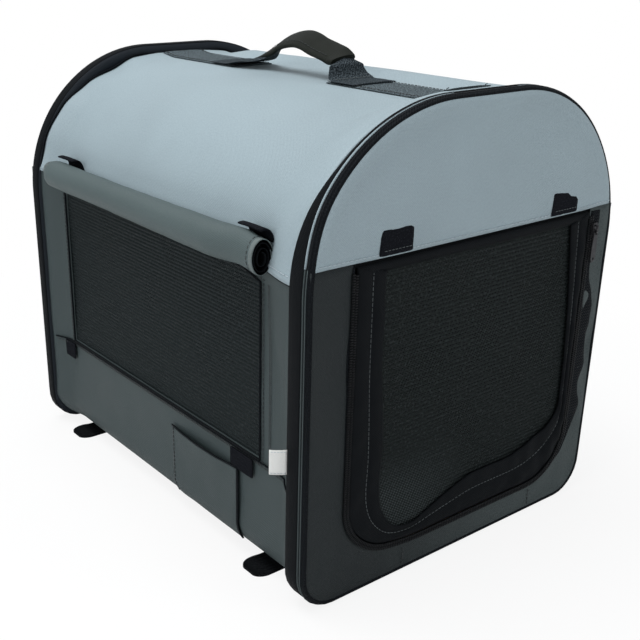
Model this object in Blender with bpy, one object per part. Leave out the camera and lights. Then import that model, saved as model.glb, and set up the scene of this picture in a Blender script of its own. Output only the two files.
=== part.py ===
"""Soft folding dog crate: two steel hoops carry a fabric tunnel with a zip door, side windows and a handle.

X runs to the right along the front, Y to the back and Z up. The crate stands on Z = 0, centred on X and Y.
"""

import math

import bmesh
import bpy

# Overall size, in metres
CRATE_WIDTH = 0.356
CRATE_HEIGHT = 0.406
CRATE_LENGTH = 0.457
SHOULDER_SHARE = 0.3933
SHOULDER_RADIUS = CRATE_WIDTH * SHOULDER_SHARE
FOOT_RADIUS = 0.034
SEAM_SHARE = 0.7143
SEAM_HEIGHT = CRATE_HEIGHT * SEAM_SHARE
GAP = 0.0003

# Hoops: a bent steel tube inside a sewn fabric sleeve
SLEEVE_DEPTH = 0.0127
SLEEVE_ROUND = 0.003
TUBE_DIAMETER = 0.009
SLEEVE_SLOT = 0.0024
PIPING_DIAMETER = 0.002
HOOP_STEP = 0.012
FLOOR_LIFT = 0.0004
FRONT_PIVOT_HEIGHT = 0.0195
REAR_PIVOT_HEIGHT = 0.028

# Fabric panels
WALL_THICKNESS = 0.003
END_PANEL_THICKNESS = 0.002
MESH_THICKNESS = 0.001
STRAP_THICKNESS = 0.0016
BASE_FABRIC_THICKNESS = 0.0016
BOARD_THICKNESS = 0.0025
PAD_THICKNESS = 0.012
PAD_ROUND = 0.0035
BOARD_MARGIN = 0.002
PAD_REACH = 0.006

# Front door and its zip
DOOR_WIDTH_SHARE = 0.787
DOOR_WIDTH = CRATE_WIDTH * DOOR_WIDTH_SHARE
DOOR_SHIFT = 0.005
DOOR_BOTTOM = 0.030
DOOR_CORNER = 0.050
BORDER_WIDTH = 0.024
BORDER_HEAD = 0.008
TEETH_WIDTH = 0.0026
TEETH_THICKNESS = 0.0012
TEETH_END_SETBACK = 0.004
SLIDER_LENGTH = 0.011
SLIDER_WIDTH = 0.0078
SLIDER_THICKNESS = 0.0020
SLIDER_NOSE = 0.0046
SLIDER_DROP = 0.016
BRIDGE_LENGTH = 0.007
BRIDGE_WIDTH = 0.0022
BRIDGE_HEIGHT = 0.0030
BRIDGE_BAR = 0.0011
PULL_LENGTH = 0.030
PULL_WIDTH = 0.0066
PULL_NECK = 0.0042
PULL_THICKNESS = 0.0010
PULL_EYE_MARGIN = 0.0012
PULL_WINDOW = 0.0034
PULL_HOLE_DIAMETER = 0.0026

# Hook-and-loop tabs on the front
TAB_WIDTH = 0.034
TAB_HEIGHT = 0.020
TAB_FOOT_GAP = 0.0036
TAB_OFFSET_SHARE = 0.2795
TAB_OFFSET = CRATE_WIDTH * TAB_OFFSET_SHARE
TAB_CORNER = 0.002

# Side windows, rolled flaps and the trim of the walls
WINDOW_LENGTH_SHARE = 0.7221
WINDOW_LENGTH = CRATE_LENGTH * WINDOW_LENGTH_SHARE
WINDOW_SHIFT = 0.010
WINDOW_BOTTOM_SHARE = 0.271
WINDOW_BOTTOM = CRATE_HEIGHT * WINDOW_BOTTOM_SHARE
WINDOW_HEAD = 0.018
WINDOW_CORNER = 0.003
FLAP_OVERHANG = 0.015
FLAP_LENGTH = WINDOW_LENGTH + 2 * FLAP_OVERHANG
FLAP_THICKNESS = 0.0022
FLAP_PITCH = 0.0031
FLAP_RADIUS = 0.015
FLAP_CREST_RADIUS = FLAP_RADIUS - FLAP_PITCH / 4
FLAP_TURNS = 3.3
FLAP_SEAM_RISE = 0.017
SIDE_TAB_WIDTH = 0.030
SIDE_TAB_FRONT_SETBACK = 0.017
SIDE_TAB_REAR_SETBACK = 0.038
SIDE_TAB_WRAP_DEGREES = 16.0
PATCH_LENGTH = 0.032
PATCH_HEIGHT = 0.018
PATCH_DROP = 0.004
PATCH_THICKNESS = 0.0012
PATCH_SETBACK = 0.024
PATCH_OVERHANG = 0.015
PATCH_CORNER = 0.002
POCKET_LENGTH = 0.105
POCKET_SETBACK = 0.030
POCKET_MIDDLE = WINDOW_SHIFT - WINDOW_LENGTH / 2 + POCKET_SETBACK + POCKET_LENGTH / 2
POCKET_DROP = 0.022
POCKET_TOP = WINDOW_BOTTOM - POCKET_DROP
POCKET_THICKNESS = 0.0012
LABEL_LENGTH = 0.022
LABEL_HEIGHT = 0.015
LABEL_THICKNESS = 0.0006
LABEL_SETBACK = 0.033
LABEL_MIDDLE = WINDOW_SHIFT - WINDOW_LENGTH / 2 - LABEL_SETBACK
LABEL_DROP = 0.0105

# Rear window
REAR_WINDOW_SHARE = 0.618
REAR_WINDOW_WIDTH = CRATE_WIDTH * REAR_WINDOW_SHARE
REAR_WINDOW_CORNER = 0.020

# Straps that bind the folded crate, across under the base
TIE_WIDTH = 0.030
TIE_SETBACK = 0.010
TIE_REACH = CRATE_WIDTH / 2 - TIE_SETBACK
TIE_INSET = 0.008
TIE_SPACING = WINDOW_LENGTH - TIE_INSET
TIE_CORNER = 0.009

# Carrying handle
HANDLE_WIDTH = 0.050
HANDLE_FRONT_FOOT = -0.062
HANDLE_REAR_FOOT = 0.080
HANDLE_RISE = 0.034
HANDLE_SEWN = 0.036
HANDLE_END_SETBACK = 0.006
GRIP_WALL = 0.0022
GRIP_OVERHANG = 0.0018
LOOP_SHARES = (
    (0.00, 0.00), (0.012, 0.10), (0.022, 0.30), (0.045, 0.54), (0.11, 0.75),
    (0.20, 0.90), (0.32, 0.98), (0.44, 1.00), (0.56, 0.96), (0.68, 0.86),
    (0.79, 0.68), (0.88, 0.44), (0.945, 0.20), (0.985, 0.05), (1.00, 0.00),
)
LOOP_WIDTH_SHARES = (1.0, 1.0, 0.94, 0.72) + (0.42,) * 8 + (0.56, 0.74, 0.90, 1.0, 1.0)
GRIP_FIRST = 3
GRIP_LAST = 11

# How finely curves are cut
SHOULDER_STEPS = 10
FOOT_STEPS = 5
TUBE_SIDES = 10
PIPING_SIDES = 8
FLAP_STEPS_PER_TURN = 16
CORNER_STEPS = 4
DOOR_STEPS = 8

# Places that follow from the sizes above
HALF_WIDTH = CRATE_WIDTH / 2
HALF_LENGTH = CRATE_LENGTH / 2
FRONT_Y = -HALF_LENGTH
REAR_Y = HALF_LENGTH
BASE_UNDERSIDE = STRAP_THICKNESS + GAP
BODY_HALF_WIDTH = HALF_WIDTH - HOOP_STEP
BODY_TOP = CRATE_HEIGHT - HOOP_STEP
SLEEVE_FACE = HALF_LENGTH - END_PANEL_THICKNESS - GAP
SLEEVE_BACK = SLEEVE_FACE - SLEEVE_DEPTH
BODY_HALF_LENGTH = SLEEVE_BACK - GAP
BODY_SHOULDER = SHOULDER_RADIUS - HOOP_STEP
PANEL_INSET = PIPING_DIAMETER + GAP
PANEL_FACE = HALF_LENGTH
DOOR_HALF_WIDTH = DOOR_WIDTH / 2
DOOR_TOP = SEAM_HEIGHT - GAP
TAB_TOP = SEAM_HEIGHT + TAB_FOOT_GAP + TAB_HEIGHT
WINDOW_TOP = SEAM_HEIGHT - WINDOW_HEAD
STRAP_TOP = BODY_TOP + GAP + STRAP_THICKNESS

FABRIC_LIGHT = (0.33, 0.38, 0.44)
FABRIC_DARK = (0.075, 0.085, 0.105)
FABRIC_BLACK = (0.022, 0.024, 0.030)
MESH_BLACK = (0.012, 0.013, 0.018)
WEBBING_BLACK = (0.026, 0.027, 0.032)
PAD_GREY = (0.20, 0.21, 0.23)
BOARD_BROWN = (0.32, 0.22, 0.13)
STEEL_GREY = (0.36, 0.36, 0.37)
ZINC_BLACK = (0.05, 0.05, 0.055)
LABEL_WHITE = (0.75, 0.75, 0.75)


def clear_scene():
    for item in list(bpy.data.objects):
        bpy.data.objects.remove(item, do_unlink=True)


def add_material(item, colour, roughness, metallic=0.0):
    material = bpy.data.materials.new(item.name + "_finish")
    material.use_nodes = True
    shader = material.node_tree.nodes["Principled BSDF"]
    shader.inputs["Base Color"].default_value = (*colour, 1.0)
    shader.inputs["Roughness"].default_value = roughness
    shader.inputs["Metallic"].default_value = metallic
    item.data.materials.append(material)


def object_from(name, mesh, colour, roughness=0.85, metallic=0.0):
    """Turns a bmesh into a named object with its own material, faces pointing out."""
    bmesh.ops.recalc_face_normals(mesh, faces=mesh.faces)
    data = bpy.data.meshes.new(name)
    mesh.to_mesh(data)
    mesh.free()
    item = bpy.data.objects.new(name, data)
    bpy.context.collection.objects.link(item)
    add_material(item, colour, roughness, metallic)
    return item


def move_origin(item, place):
    """Puts the origin of an unturned object at a place without moving its shape."""
    for vertex in item.data.vertices:
        vertex.co.x -= place[0]
        vertex.co.y -= place[1]
        vertex.co.z -= place[2]
    item.location = place


def to_space(point, plane, level):
    """A point of an outline, at a level on the axis that its plane leaves out."""
    if plane == "XZ":
        return (point[0], level, point[1])
    if plane == "YZ":
        return (level, point[0], point[1])
    return (point[0], point[1], level)


def add_prism(mesh, outline, plane, low, high):
    """A closed outline extruded between two levels."""
    corners = [mesh.verts.new(to_space(point, plane, low)) for point in outline]
    face = mesh.faces.new(corners)
    result = bmesh.ops.extrude_face_region(mesh, geom=[face])
    raised = [part for part in result["geom"] if isinstance(part, bmesh.types.BMVert)]
    shift = to_space((0, 0), plane, high - low)
    bmesh.ops.translate(mesh, vec=shift, verts=raised)


def prism(name, outline, plane, low, high, colour, roughness=0.85, metallic=0.0):
    mesh = bmesh.new()
    add_prism(mesh, outline, plane, low, high)
    return object_from(name, mesh, colour, roughness, metallic)


def band_prism(name, outer, inner, plane, low, high, colour, roughness=0.85):
    """A strip of even thickness: the outer and inner lines are open and have the same number of points."""
    mesh = bmesh.new()
    rows = []
    for line, level in ((outer, low), (outer, high), (inner, high), (inner, low)):
        rows.append([mesh.verts.new(to_space(point, plane, level)) for point in line])
    for row, following in zip(rows, rows[1:] + rows[:1]):
        for first in range(len(row) - 1):
            mesh.faces.new((row[first], row[first + 1], following[first + 1], following[first]))
    mesh.faces.new([row[0] for row in rows])
    mesh.faces.new([row[-1] for row in rows])
    return object_from(name, mesh, colour, roughness)


def cut(item, cutter_outline, plane, low, high):
    """Takes a prism out of an object with a Boolean."""
    mesh = bmesh.new()
    add_prism(mesh, cutter_outline, plane, low, high)
    cutter = object_from(item.name + "_cutter", mesh, FABRIC_DARK)
    cutter.hide_render = True
    cutter.display_type = "WIRE"
    modifier = item.modifiers.new("Opening", "BOOLEAN")
    modifier.operation = "DIFFERENCE"
    modifier.object = cutter


def arc(centre, radius, start, end, steps):
    """Points along an arc, with angles in degrees."""
    points = []
    for step in range(steps + 1):
        angle = math.radians(start + (end - start) * step / steps)
        points.append((centre[0] + radius * math.cos(angle), centre[1] + radius * math.sin(angle)))
    return points


def tunnel_outline(half_width, bottom, top, foot, shoulder):
    """The closed arch outline, from the left end of the floor line, up, over and down to its right end."""
    points = arc((-half_width + foot, bottom + foot), foot, 270, 180, FOOT_STEPS)
    points += arc((-half_width + shoulder, top - shoulder), shoulder, 180, 90, SHOULDER_STEPS)
    points += arc((half_width - shoulder, top - shoulder), shoulder, 90, 0, SHOULDER_STEPS)
    points += arc((half_width - foot, bottom + foot), foot, 0, -90, FOOT_STEPS)
    return points


def hoop_outline(inset):
    return tunnel_outline(
        HALF_WIDTH - inset,
        FLOOR_LIFT + inset,
        CRATE_HEIGHT - inset,
        FOOT_RADIUS - inset,
        SHOULDER_RADIUS - inset,
    )


def body_outline(inset):
    return tunnel_outline(
        BODY_HALF_WIDTH - inset,
        BASE_UNDERSIDE + inset,
        BODY_TOP - inset,
        FOOT_RADIUS - inset,
        BODY_SHOULDER - inset,
    )


def crossing(first, second, level):
    """The point of a line at a height."""
    share = (level - first[1]) / (second[1] - first[1])
    return (first[0] + share * (second[0] - first[0]), level)


def part_above(outline, level):
    """The run of an arch outline above a height, cut square at that height."""
    kept = []
    for first, second in zip(outline, outline[1:]):
        if (first[1] < level) != (second[1] < level):
            kept.append(crossing(first, second, level))
        if second[1] > level:
            kept.append(second)
    return kept


def part_below(outline, level):
    """The left-hand run of an arch outline below a height, from the floor up."""
    kept = []
    for first, second in zip(outline, outline[1:]):
        kept.append(first)
        if first[1] < level <= second[1]:
            kept.append(crossing(first, second, level))
            break
    return kept


def rounded_box(low, high, radius):
    """A rectangle with rounded corners between two corner points."""
    points = arc((high[0] - radius, high[1] - radius), radius, 0, 90, CORNER_STEPS)
    points += arc((low[0] + radius, high[1] - radius), radius, 90, 180, CORNER_STEPS)
    points += arc((low[0] + radius, low[1] + radius), radius, 180, 270, CORNER_STEPS)
    points += arc((high[0] - radius, low[1] + radius), radius, 270, 360, CORNER_STEPS)
    return points


def mirrored(points):
    return [(-x, z) for x, z in reversed(points)]


def shifted_sign(points, side):
    """The outline as drawn for the left side, or turned over for the right."""
    if side < 0:
        return points
    return mirrored(points)


# Hoops


def sweep_round_arch(name, section, colour, roughness, metallic=0.0):
    """Carries a closed section, given as inset and depth, all the way round the hoop."""
    mesh = bmesh.new()
    rows = []
    for inset, depth in section:
        rows.append([mesh.verts.new((x, depth, z)) for x, z in hoop_outline(inset)])
    for row, following in zip(rows, rows[1:] + rows[:1]):
        for first in range(len(row)):
            second = (first + 1) % len(row)
            mesh.faces.new((row[first], row[second], following[second], following[first]))
    return object_from(name, mesh, colour, roughness, metallic)


def sleeve_section(middle):
    """A square sleeve with rounded outer corners, hollow for the tube and open along its inner side."""
    half_depth = SLEEVE_DEPTH / 2
    half_slot = SLEEVE_SLOT / 2
    bore = TUBE_DIAMETER / 2 + GAP
    corner = SLEEVE_ROUND
    slot_degrees = math.degrees(math.asin(half_slot / bore))
    section = [(SLEEVE_DEPTH, half_slot), (SLEEVE_DEPTH, half_depth)]
    section += arc((corner, half_depth - corner), corner, 90, 180, CORNER_STEPS // 2)
    section += arc((corner, corner - half_depth), corner, 180, 270, CORNER_STEPS // 2)
    section += [(SLEEVE_DEPTH, -half_depth), (SLEEVE_DEPTH, -half_slot)]
    section += arc((half_depth, 0), bore, -slot_degrees, slot_degrees - 360, TUBE_SIDES)
    return [(inset, depth + middle) for inset, depth in section]


def round_section(inset, depth, diameter, sides):
    return arc((inset, depth), diameter / 2, 0, 360 - 360 / sides, sides - 1)


def build_hoop(end, side):
    middle = side * (SLEEVE_FACE - SLEEVE_DEPTH / 2)
    tube = round_section(SLEEVE_DEPTH / 2, middle, TUBE_DIAMETER, TUBE_SIDES)
    piping_depth = side * (PANEL_FACE - PIPING_DIAMETER / 2)
    piping = round_section(PIPING_DIAMETER / 2, piping_depth, PIPING_DIAMETER, PIPING_SIDES)
    return [
        sweep_round_arch(end + "_hoop_tube", tube, STEEL_GREY, 0.35, 1.0),
        sweep_round_arch(end + "_hoop_sleeve", sleeve_section(middle), FABRIC_BLACK, 0.8),
        sweep_round_arch(end + "_piping", piping, FABRIC_BLACK, 0.7),
    ]


# End panels


def end_levels(side, thickness, proud=0.0):
    """The two Y levels of a panel whose outer face is proud of the end panels' face."""
    outer = side * (PANEL_FACE + proud)
    inner = side * (PANEL_FACE + proud - thickness)
    return min(outer, inner), max(outer, inner)


def build_arch_panel(end, side):
    outline = part_above(hoop_outline(PANEL_INSET), SEAM_HEIGHT + GAP)
    low, high = end_levels(side, END_PANEL_THICKNESS)
    return prism(end + "_arch_panel", outline, "XZ", low, high, FABRIC_LIGHT)


def lower_outline(outline, level):
    """An arch outline with everything above a height left off."""
    left = part_below(outline, level)
    return left + mirrored(left)


def build_door_surround():
    outline = lower_outline(hoop_outline(PANEL_INSET), SEAM_HEIGHT - GAP)
    low, high = end_levels(-1, END_PANEL_THICKNESS)
    surround = prism("front_surround", outline, "XZ", low, high, FABRIC_DARK)
    opening = door_line(-GAP, SEAM_HEIGHT + DOOR_BOTTOM)
    cut(surround, opening, "XZ", low - GAP, high + GAP)
    return surround


def build_rear_panel():
    outline = lower_outline(hoop_outline(PANEL_INSET), SEAM_HEIGHT - GAP)
    low, high = end_levels(1, END_PANEL_THICKNESS)
    panel = prism("rear_panel", outline, "XZ", low, high, FABRIC_DARK)
    cut(panel, rear_window_outline(0.0), "XZ", low - GAP, high + GAP)
    low, high = end_levels(1, MESH_THICKNESS, (MESH_THICKNESS - END_PANEL_THICKNESS) / 2)
    window = prism("rear_window_mesh", rear_window_outline(GAP), "XZ", low, high, MESH_BLACK)
    return [panel, window]


def rear_window_outline(inset):
    half = REAR_WINDOW_WIDTH / 2 - inset
    low = (-half, WINDOW_BOTTOM + inset)
    high = (half, WINDOW_TOP - inset)
    return rounded_box(low, high, REAR_WINDOW_CORNER - inset)


# Door, zip and tabs


def door_line(inset, top):
    """The zip's line, down one side, round the lower corners and up the other. Closed, it is the door."""
    left = DOOR_SHIFT - DOOR_HALF_WIDTH + inset
    right = DOOR_SHIFT + DOOR_HALF_WIDTH - inset
    bottom = DOOR_BOTTOM + inset
    radius = DOOR_CORNER - inset
    points = [(left, top)]
    points += arc((left + radius, bottom + radius), radius, 180, 270, DOOR_STEPS)
    points += arc((right - radius, bottom + radius), radius, 270, 360, DOOR_STEPS)
    points.append((right, top))
    return points


def build_door():
    hinge = (0.0, -PANEL_FACE, DOOR_TOP)
    low, high = end_levels(-1, END_PANEL_THICKNESS)
    border = prism("door_border", door_line(0.0, DOOR_TOP), "XZ", low, high, FABRIC_BLACK)
    head = DOOR_TOP - BORDER_HEAD
    cut(border, door_line(BORDER_WIDTH, head), "XZ", low - GAP, high + GAP)
    low, high = end_levels(-1, MESH_THICKNESS, (MESH_THICKNESS - END_PANEL_THICKNESS) / 2)
    inset = BORDER_WIDTH + GAP
    panel = prism("door_mesh", door_line(inset, head - GAP), "XZ", low, high, MESH_BLACK)
    teeth = build_teeth("door_zip_teeth", GAP, TEETH_WIDTH + GAP)
    for item in (border, panel, teeth):
        move_origin(item, hinge)
    return [border, panel, teeth]


def build_teeth(name, first_inset, last_inset):
    """One half of the zip chain, laid on the face of the panels along the door's edge."""
    top = DOOR_TOP - TEETH_END_SETBACK
    low, high = end_levels(-1, TEETH_THICKNESS, GAP + TEETH_THICKNESS)
    outer = door_line(first_inset, top)
    inner = door_line(last_inset, top)
    return band_prism(name, outer, inner, "XZ", low, high, ZINC_BLACK, 0.5)


def slider_outline():
    """A zip slider seen from the front: a broad shoulder that narrows to its tail."""
    half = SLIDER_WIDTH / 2
    nose = SLIDER_NOSE / 2
    top = SLIDER_LENGTH / 2
    return [
        (-nose, -top),
        (nose, -top),
        (half, top - half),
        (half, top - half / 2),
        (half / 2, top),
        (-half / 2, top),
        (-half, top - half / 2),
        (-half, top - half),
    ]


def build_slider():
    """The slider rides in front of the frame's half of the chain, so the door can swing past it."""
    x = DOOR_SHIFT + DOOR_HALF_WIDTH + GAP + SLIDER_WIDTH / 2
    z = DOOR_TOP - SLIDER_DROP
    back = -PANEL_FACE - GAP - TEETH_THICKNESS - GAP
    front = back - SLIDER_THICKNESS
    outline = [(x + across, z + up) for across, up in slider_outline()]
    slider = prism("zip_slider", outline, "XZ", front, back, ZINC_BLACK, 0.4, 0.8)
    mesh = bmesh.new()
    half = BRIDGE_LENGTH / 2
    rise = BRIDGE_HEIGHT
    bar = BRIDGE_BAR
    root = front + bar / 2
    loop = [
        (root, z - half),
        (front - rise + bar, z - half),
        (front - rise, z - half + bar),
        (front - rise, z + half - bar),
        (front - rise + bar, z + half),
        (root, z + half),
        (root, z + half - bar),
        (front - rise + bar, z + half - bar),
        (front - rise + bar, z - half + bar),
        (root, z - half + bar),
    ]
    add_prism(mesh, loop, "YZ", x - BRIDGE_WIDTH / 2, x + BRIDGE_WIDTH / 2)
    bridge = object_from("zip_slider_bridge", mesh, ZINC_BLACK)
    bridge.hide_render = True
    bridge.display_type = "WIRE"
    union = slider.modifiers.new("Bridge", "BOOLEAN")
    union.operation = "UNION"
    union.object = bridge
    return slider


def pull_place():
    """Where the pull turns: the strip above its window lies inside the bridge, just over the lower leg."""
    x = DOOR_SHIFT + DOOR_HALF_WIDTH + GAP + SLIDER_WIDTH / 2
    lower_leg_top = DOOR_TOP - SLIDER_DROP - BRIDGE_LENGTH / 2 + BRIDGE_BAR
    z = lower_leg_top + GAP + PULL_EYE_MARGIN / 2
    slider_face = PANEL_FACE + 2 * GAP + TEETH_THICKNESS + SLIDER_THICKNESS
    y = -slider_face - (BRIDGE_HEIGHT - BRIDGE_BAR) / 2
    return (x, y, z)


def build_pull():
    """A flat pull: a window that takes the bridge at its top and a small hole at its end."""
    x, y, z = pull_place()
    neck = PULL_NECK / 2
    half = PULL_WIDTH / 2
    top = PULL_EYE_MARGIN / 2
    end = top - PULL_LENGTH
    outline = [
        (x - neck, z + top),
        (x - half, z + end / 2),
        (x - half, z + end + half),
        (x - half / 2, z + end),
        (x + half / 2, z + end),
        (x + half, z + end + half),
        (x + half, z + end / 2),
        (x + neck, z + top),
    ]
    low = y - PULL_THICKNESS / 2
    high = y + PULL_THICKNESS / 2
    pull = prism("zip_pull", outline, "XZ", low, high, ZINC_BLACK, 0.4, 0.8)
    slot = BRIDGE_WIDTH / 2 + GAP
    window_low = z - top - PULL_WINDOW
    window_high = z - top
    window = [(x - slot, window_low), (x + slot, window_low)]
    window += [(x + slot, window_high), (x - slot, window_high)]
    cut(pull, window, "XZ", low - GAP, high + GAP)
    hole_z = z + end + half
    hole = arc((x, hole_z), PULL_HOLE_DIAMETER / 2, 0, 360 - 360 / TUBE_SIDES, TUBE_SIDES - 1)
    cut(pull, hole, "XZ", low - GAP, high + GAP)
    move_origin(pull, (x, y, z))
    return pull


def build_front_tabs():
    tabs = []
    low, high = end_levels(-1, STRAP_THICKNESS, GAP + STRAP_THICKNESS)
    for name, side in (("left", -1), ("right", 1)):
        x = DOOR_SHIFT + side * TAB_OFFSET
        corner_low = (x - TAB_WIDTH / 2, TAB_TOP - TAB_HEIGHT)
        corner_high = (x + TAB_WIDTH / 2, TAB_TOP)
        outline = rounded_box(corner_low, corner_high, TAB_CORNER)
        tab = prism("front_tab_" + name, outline, "XZ", low, high, WEBBING_BLACK)
        move_origin(tab, (x, low, TAB_TOP))
        tabs.append(tab)
    return tabs


# Tunnel fabric


def build_roof():
    outer = part_above(body_outline(0.0), SEAM_HEIGHT + GAP)
    inner = part_above(body_outline(WALL_THICKNESS), SEAM_HEIGHT + GAP)
    return band_prism("roof_panel", outer, inner, "XZ", -BODY_HALF_LENGTH, BODY_HALF_LENGTH, FABRIC_LIGHT)


def window_box(inset):
    low = (WINDOW_SHIFT - WINDOW_LENGTH / 2 + inset, WINDOW_BOTTOM + inset)
    high = (WINDOW_SHIFT + WINDOW_LENGTH / 2 - inset, WINDOW_TOP - inset)
    return rounded_box(low, high, WINDOW_CORNER - inset)


def side_levels(side, thickness, proud):
    """The two X levels of a flat piece whose outer face is proud of the wall's face."""
    outer = side * (BODY_HALF_WIDTH + proud)
    inner = side * (BODY_HALF_WIDTH + proud - thickness)
    return min(outer, inner), max(outer, inner)


def build_wall(name, side):
    outer = part_below(body_outline(0.0), SEAM_HEIGHT - GAP)
    inner = part_below(body_outline(WALL_THICKNESS), SEAM_HEIGHT - GAP)
    outer = shifted_sign(outer, side)
    inner = shifted_sign(inner, side)
    wall = band_prism(name + "_wall", outer, inner, "XZ", -BODY_HALF_LENGTH, BODY_HALF_LENGTH, FABRIC_DARK)
    low, high = side_levels(side, WALL_THICKNESS + 2 * HOOP_STEP, HOOP_STEP)
    cut(wall, window_box(0.0), "YZ", low, high)
    low, high = side_levels(side, MESH_THICKNESS, (MESH_THICKNESS - WALL_THICKNESS) / 2)
    window = prism(name + "_window_mesh", window_box(GAP), "YZ", low, high, MESH_BLACK)
    return [wall, window]


def build_base():
    half_width = BODY_HALF_WIDTH - FOOT_RADIUS - GAP
    board_half_width = half_width - BOARD_MARGIN
    board_half_length = BODY_HALF_LENGTH - BOARD_MARGIN
    bottom = BASE_UNDERSIDE
    fabric = [(-half_width, -BODY_HALF_LENGTH), (half_width, BODY_HALF_LENGTH)]
    board = [(-board_half_width, -board_half_length), (board_half_width, board_half_length)]
    layers = []
    for name, corners, thickness, colour in (
        ("base_fabric", fabric, BASE_FABRIC_THICKNESS, FABRIC_DARK),
        ("base_board", board, BOARD_THICKNESS, BOARD_BROWN),
    ):
        outline = rounded_box(corners[0], corners[1], BOARD_MARGIN)
        layers.append(prism(name, outline, "XY", bottom, bottom + thickness, colour))
        bottom += thickness + GAP
    pad_half_width = half_width + PAD_REACH
    outline = rounded_box((-pad_half_width, bottom), (pad_half_width, bottom + PAD_THICKNESS), PAD_ROUND)
    pad = prism("floor_pad", outline, "XZ", -board_half_length, board_half_length, PAD_GREY)
    return layers + [pad]


def build_ties():
    ties = []
    for name, side in (("front", -1), ("rear", 1)):
        y = side * TIE_SPACING / 2 + WINDOW_SHIFT
        low = (-TIE_REACH, y - TIE_WIDTH / 2)
        high = (TIE_REACH, y + TIE_WIDTH / 2)
        outline = rounded_box(low, high, TIE_CORNER)
        ties.append(prism("tie_strap_" + name, outline, "XY", 0.0, STRAP_THICKNESS, WEBBING_BLACK))
    return ties


# Rolled window flaps, wound from the sewn edge inwards


def flap_centre():
    """The middle of the left-hand roll, which lies against the tunnel's shoulder, in X and Z."""
    z = SEAM_HEIGHT + FLAP_SEAM_RISE - FLAP_CREST_RADIUS
    rise = z - BODY_TOP + BODY_SHOULDER
    reach = BODY_SHOULDER + GAP + FLAP_RADIUS
    return BODY_SHOULDER - BODY_HALF_WIDTH - math.sqrt(reach ** 2 - rise ** 2), z


def face_x(z):
    """How far out the tunnel's face lies at a height on the shoulder."""
    rise = max(z - BODY_TOP + BODY_SHOULDER, 0.0)
    return BODY_HALF_WIDTH - BODY_SHOULDER + math.sqrt(BODY_SHOULDER ** 2 - rise ** 2)


def flap_spiral(offset):
    """One face of the rolled cloth, from its sewn edge at the seam, over the top, to its free end inside."""
    centre_x, centre_z = flap_centre()
    rise = centre_z - BODY_TOP + BODY_SHOULDER
    start = -math.asin(rise / (BODY_SHOULDER + GAP + FLAP_RADIUS))
    steps = int(FLAP_TURNS * FLAP_STEPS_PER_TURN)
    points = []
    for step in range(steps + 1):
        turn = step / FLAP_STEPS_PER_TURN
        radius = FLAP_RADIUS - offset - FLAP_PITCH * turn
        angle = start + 2 * math.pi * turn
        points.append((centre_x + radius * math.cos(angle), centre_z + radius * math.sin(angle)))
    return points


def build_flap(name, side):
    outer = shifted_sign(flap_spiral(0.0), side)
    inner = shifted_sign(flap_spiral(FLAP_THICKNESS), side)
    low = WINDOW_SHIFT - FLAP_LENGTH / 2
    high = WINDOW_SHIFT + FLAP_LENGTH / 2
    return band_prism(name + "_flap_roll", outer, inner, "XZ", low, high, FABRIC_DARK)


def side_tab_line(offset):
    """The tab's line: out from the wall over the top of the roll, ending just past its crest."""
    centre_x, centre_z = flap_centre()
    radius = FLAP_CREST_RADIUS + GAP + offset
    wall = (-face_x(centre_z + FLAP_CREST_RADIUS) - GAP, centre_z + radius)
    return [wall] + arc((centre_x, centre_z), radius, 90, 90 + SIDE_TAB_WRAP_DEGREES, CORNER_STEPS)


def build_side_tabs(name, side):
    tabs = []
    hinge_z = SEAM_HEIGHT + FLAP_SEAM_RISE + GAP + STRAP_THICKNESS
    hinge_x = side * (face_x(hinge_z) + GAP)
    front_y = WINDOW_SHIFT - FLAP_LENGTH / 2 + SIDE_TAB_FRONT_SETBACK
    rear_y = WINDOW_SHIFT + FLAP_LENGTH / 2 - SIDE_TAB_REAR_SETBACK
    for end, y in (("front", front_y), ("rear", rear_y)):
        outer = shifted_sign(side_tab_line(STRAP_THICKNESS), side)
        inner = shifted_sign(side_tab_line(0.0), side)
        low = y - SIDE_TAB_WIDTH / 2
        high = y + SIDE_TAB_WIDTH / 2
        tab = band_prism(name + "_tab_" + end, outer, inner, "XZ", low, high, WEBBING_BLACK)
        move_origin(tab, (hinge_x, y, hinge_z))
        tabs.append(tab)
    return tabs


def build_patches(name, side):
    """Loop patches under the window, where the flap's tabs would hold it down."""
    patches = []
    low, high = side_levels(side, PATCH_THICKNESS, GAP + PATCH_THICKNESS)
    top = WINDOW_BOTTOM - PATCH_DROP
    front_y = WINDOW_SHIFT - WINDOW_LENGTH / 2 + PATCH_SETBACK
    rear_y = WINDOW_SHIFT + WINDOW_LENGTH / 2 + PATCH_OVERHANG
    for end, y in (("front", front_y), ("rear", rear_y)):
        corner_low = (y - PATCH_LENGTH / 2, top - PATCH_HEIGHT)
        corner_high = (y + PATCH_LENGTH / 2, top)
        outline = rounded_box(corner_low, corner_high, PATCH_CORNER)
        patches.append(prism(name + "_patch_" + end, outline, "YZ", low, high, WEBBING_BLACK))
    return patches


def build_pocket():
    outer = part_below(body_outline(-GAP - POCKET_THICKNESS), POCKET_TOP)
    inner = part_below(body_outline(-GAP), POCKET_TOP)
    skipped = FOOT_STEPS // 2
    low = POCKET_MIDDLE - POCKET_LENGTH / 2
    high = POCKET_MIDDLE + POCKET_LENGTH / 2
    return band_prism("side_pocket", outer[skipped:], inner[skipped:], "XZ", low, high, FABRIC_DARK)


def build_label():
    low, high = side_levels(-1, LABEL_THICKNESS, GAP + LABEL_THICKNESS)
    middle = WINDOW_BOTTOM + LABEL_DROP
    corner_low = (LABEL_MIDDLE - LABEL_LENGTH / 2, middle - LABEL_HEIGHT / 2)
    corner_high = (LABEL_MIDDLE + LABEL_LENGTH / 2, middle + LABEL_HEIGHT / 2)
    outline = rounded_box(corner_low, corner_high, LABEL_THICKNESS)
    return prism("blank_label", outline, "YZ", low, high, LABEL_WHITE)


# Handle


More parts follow.
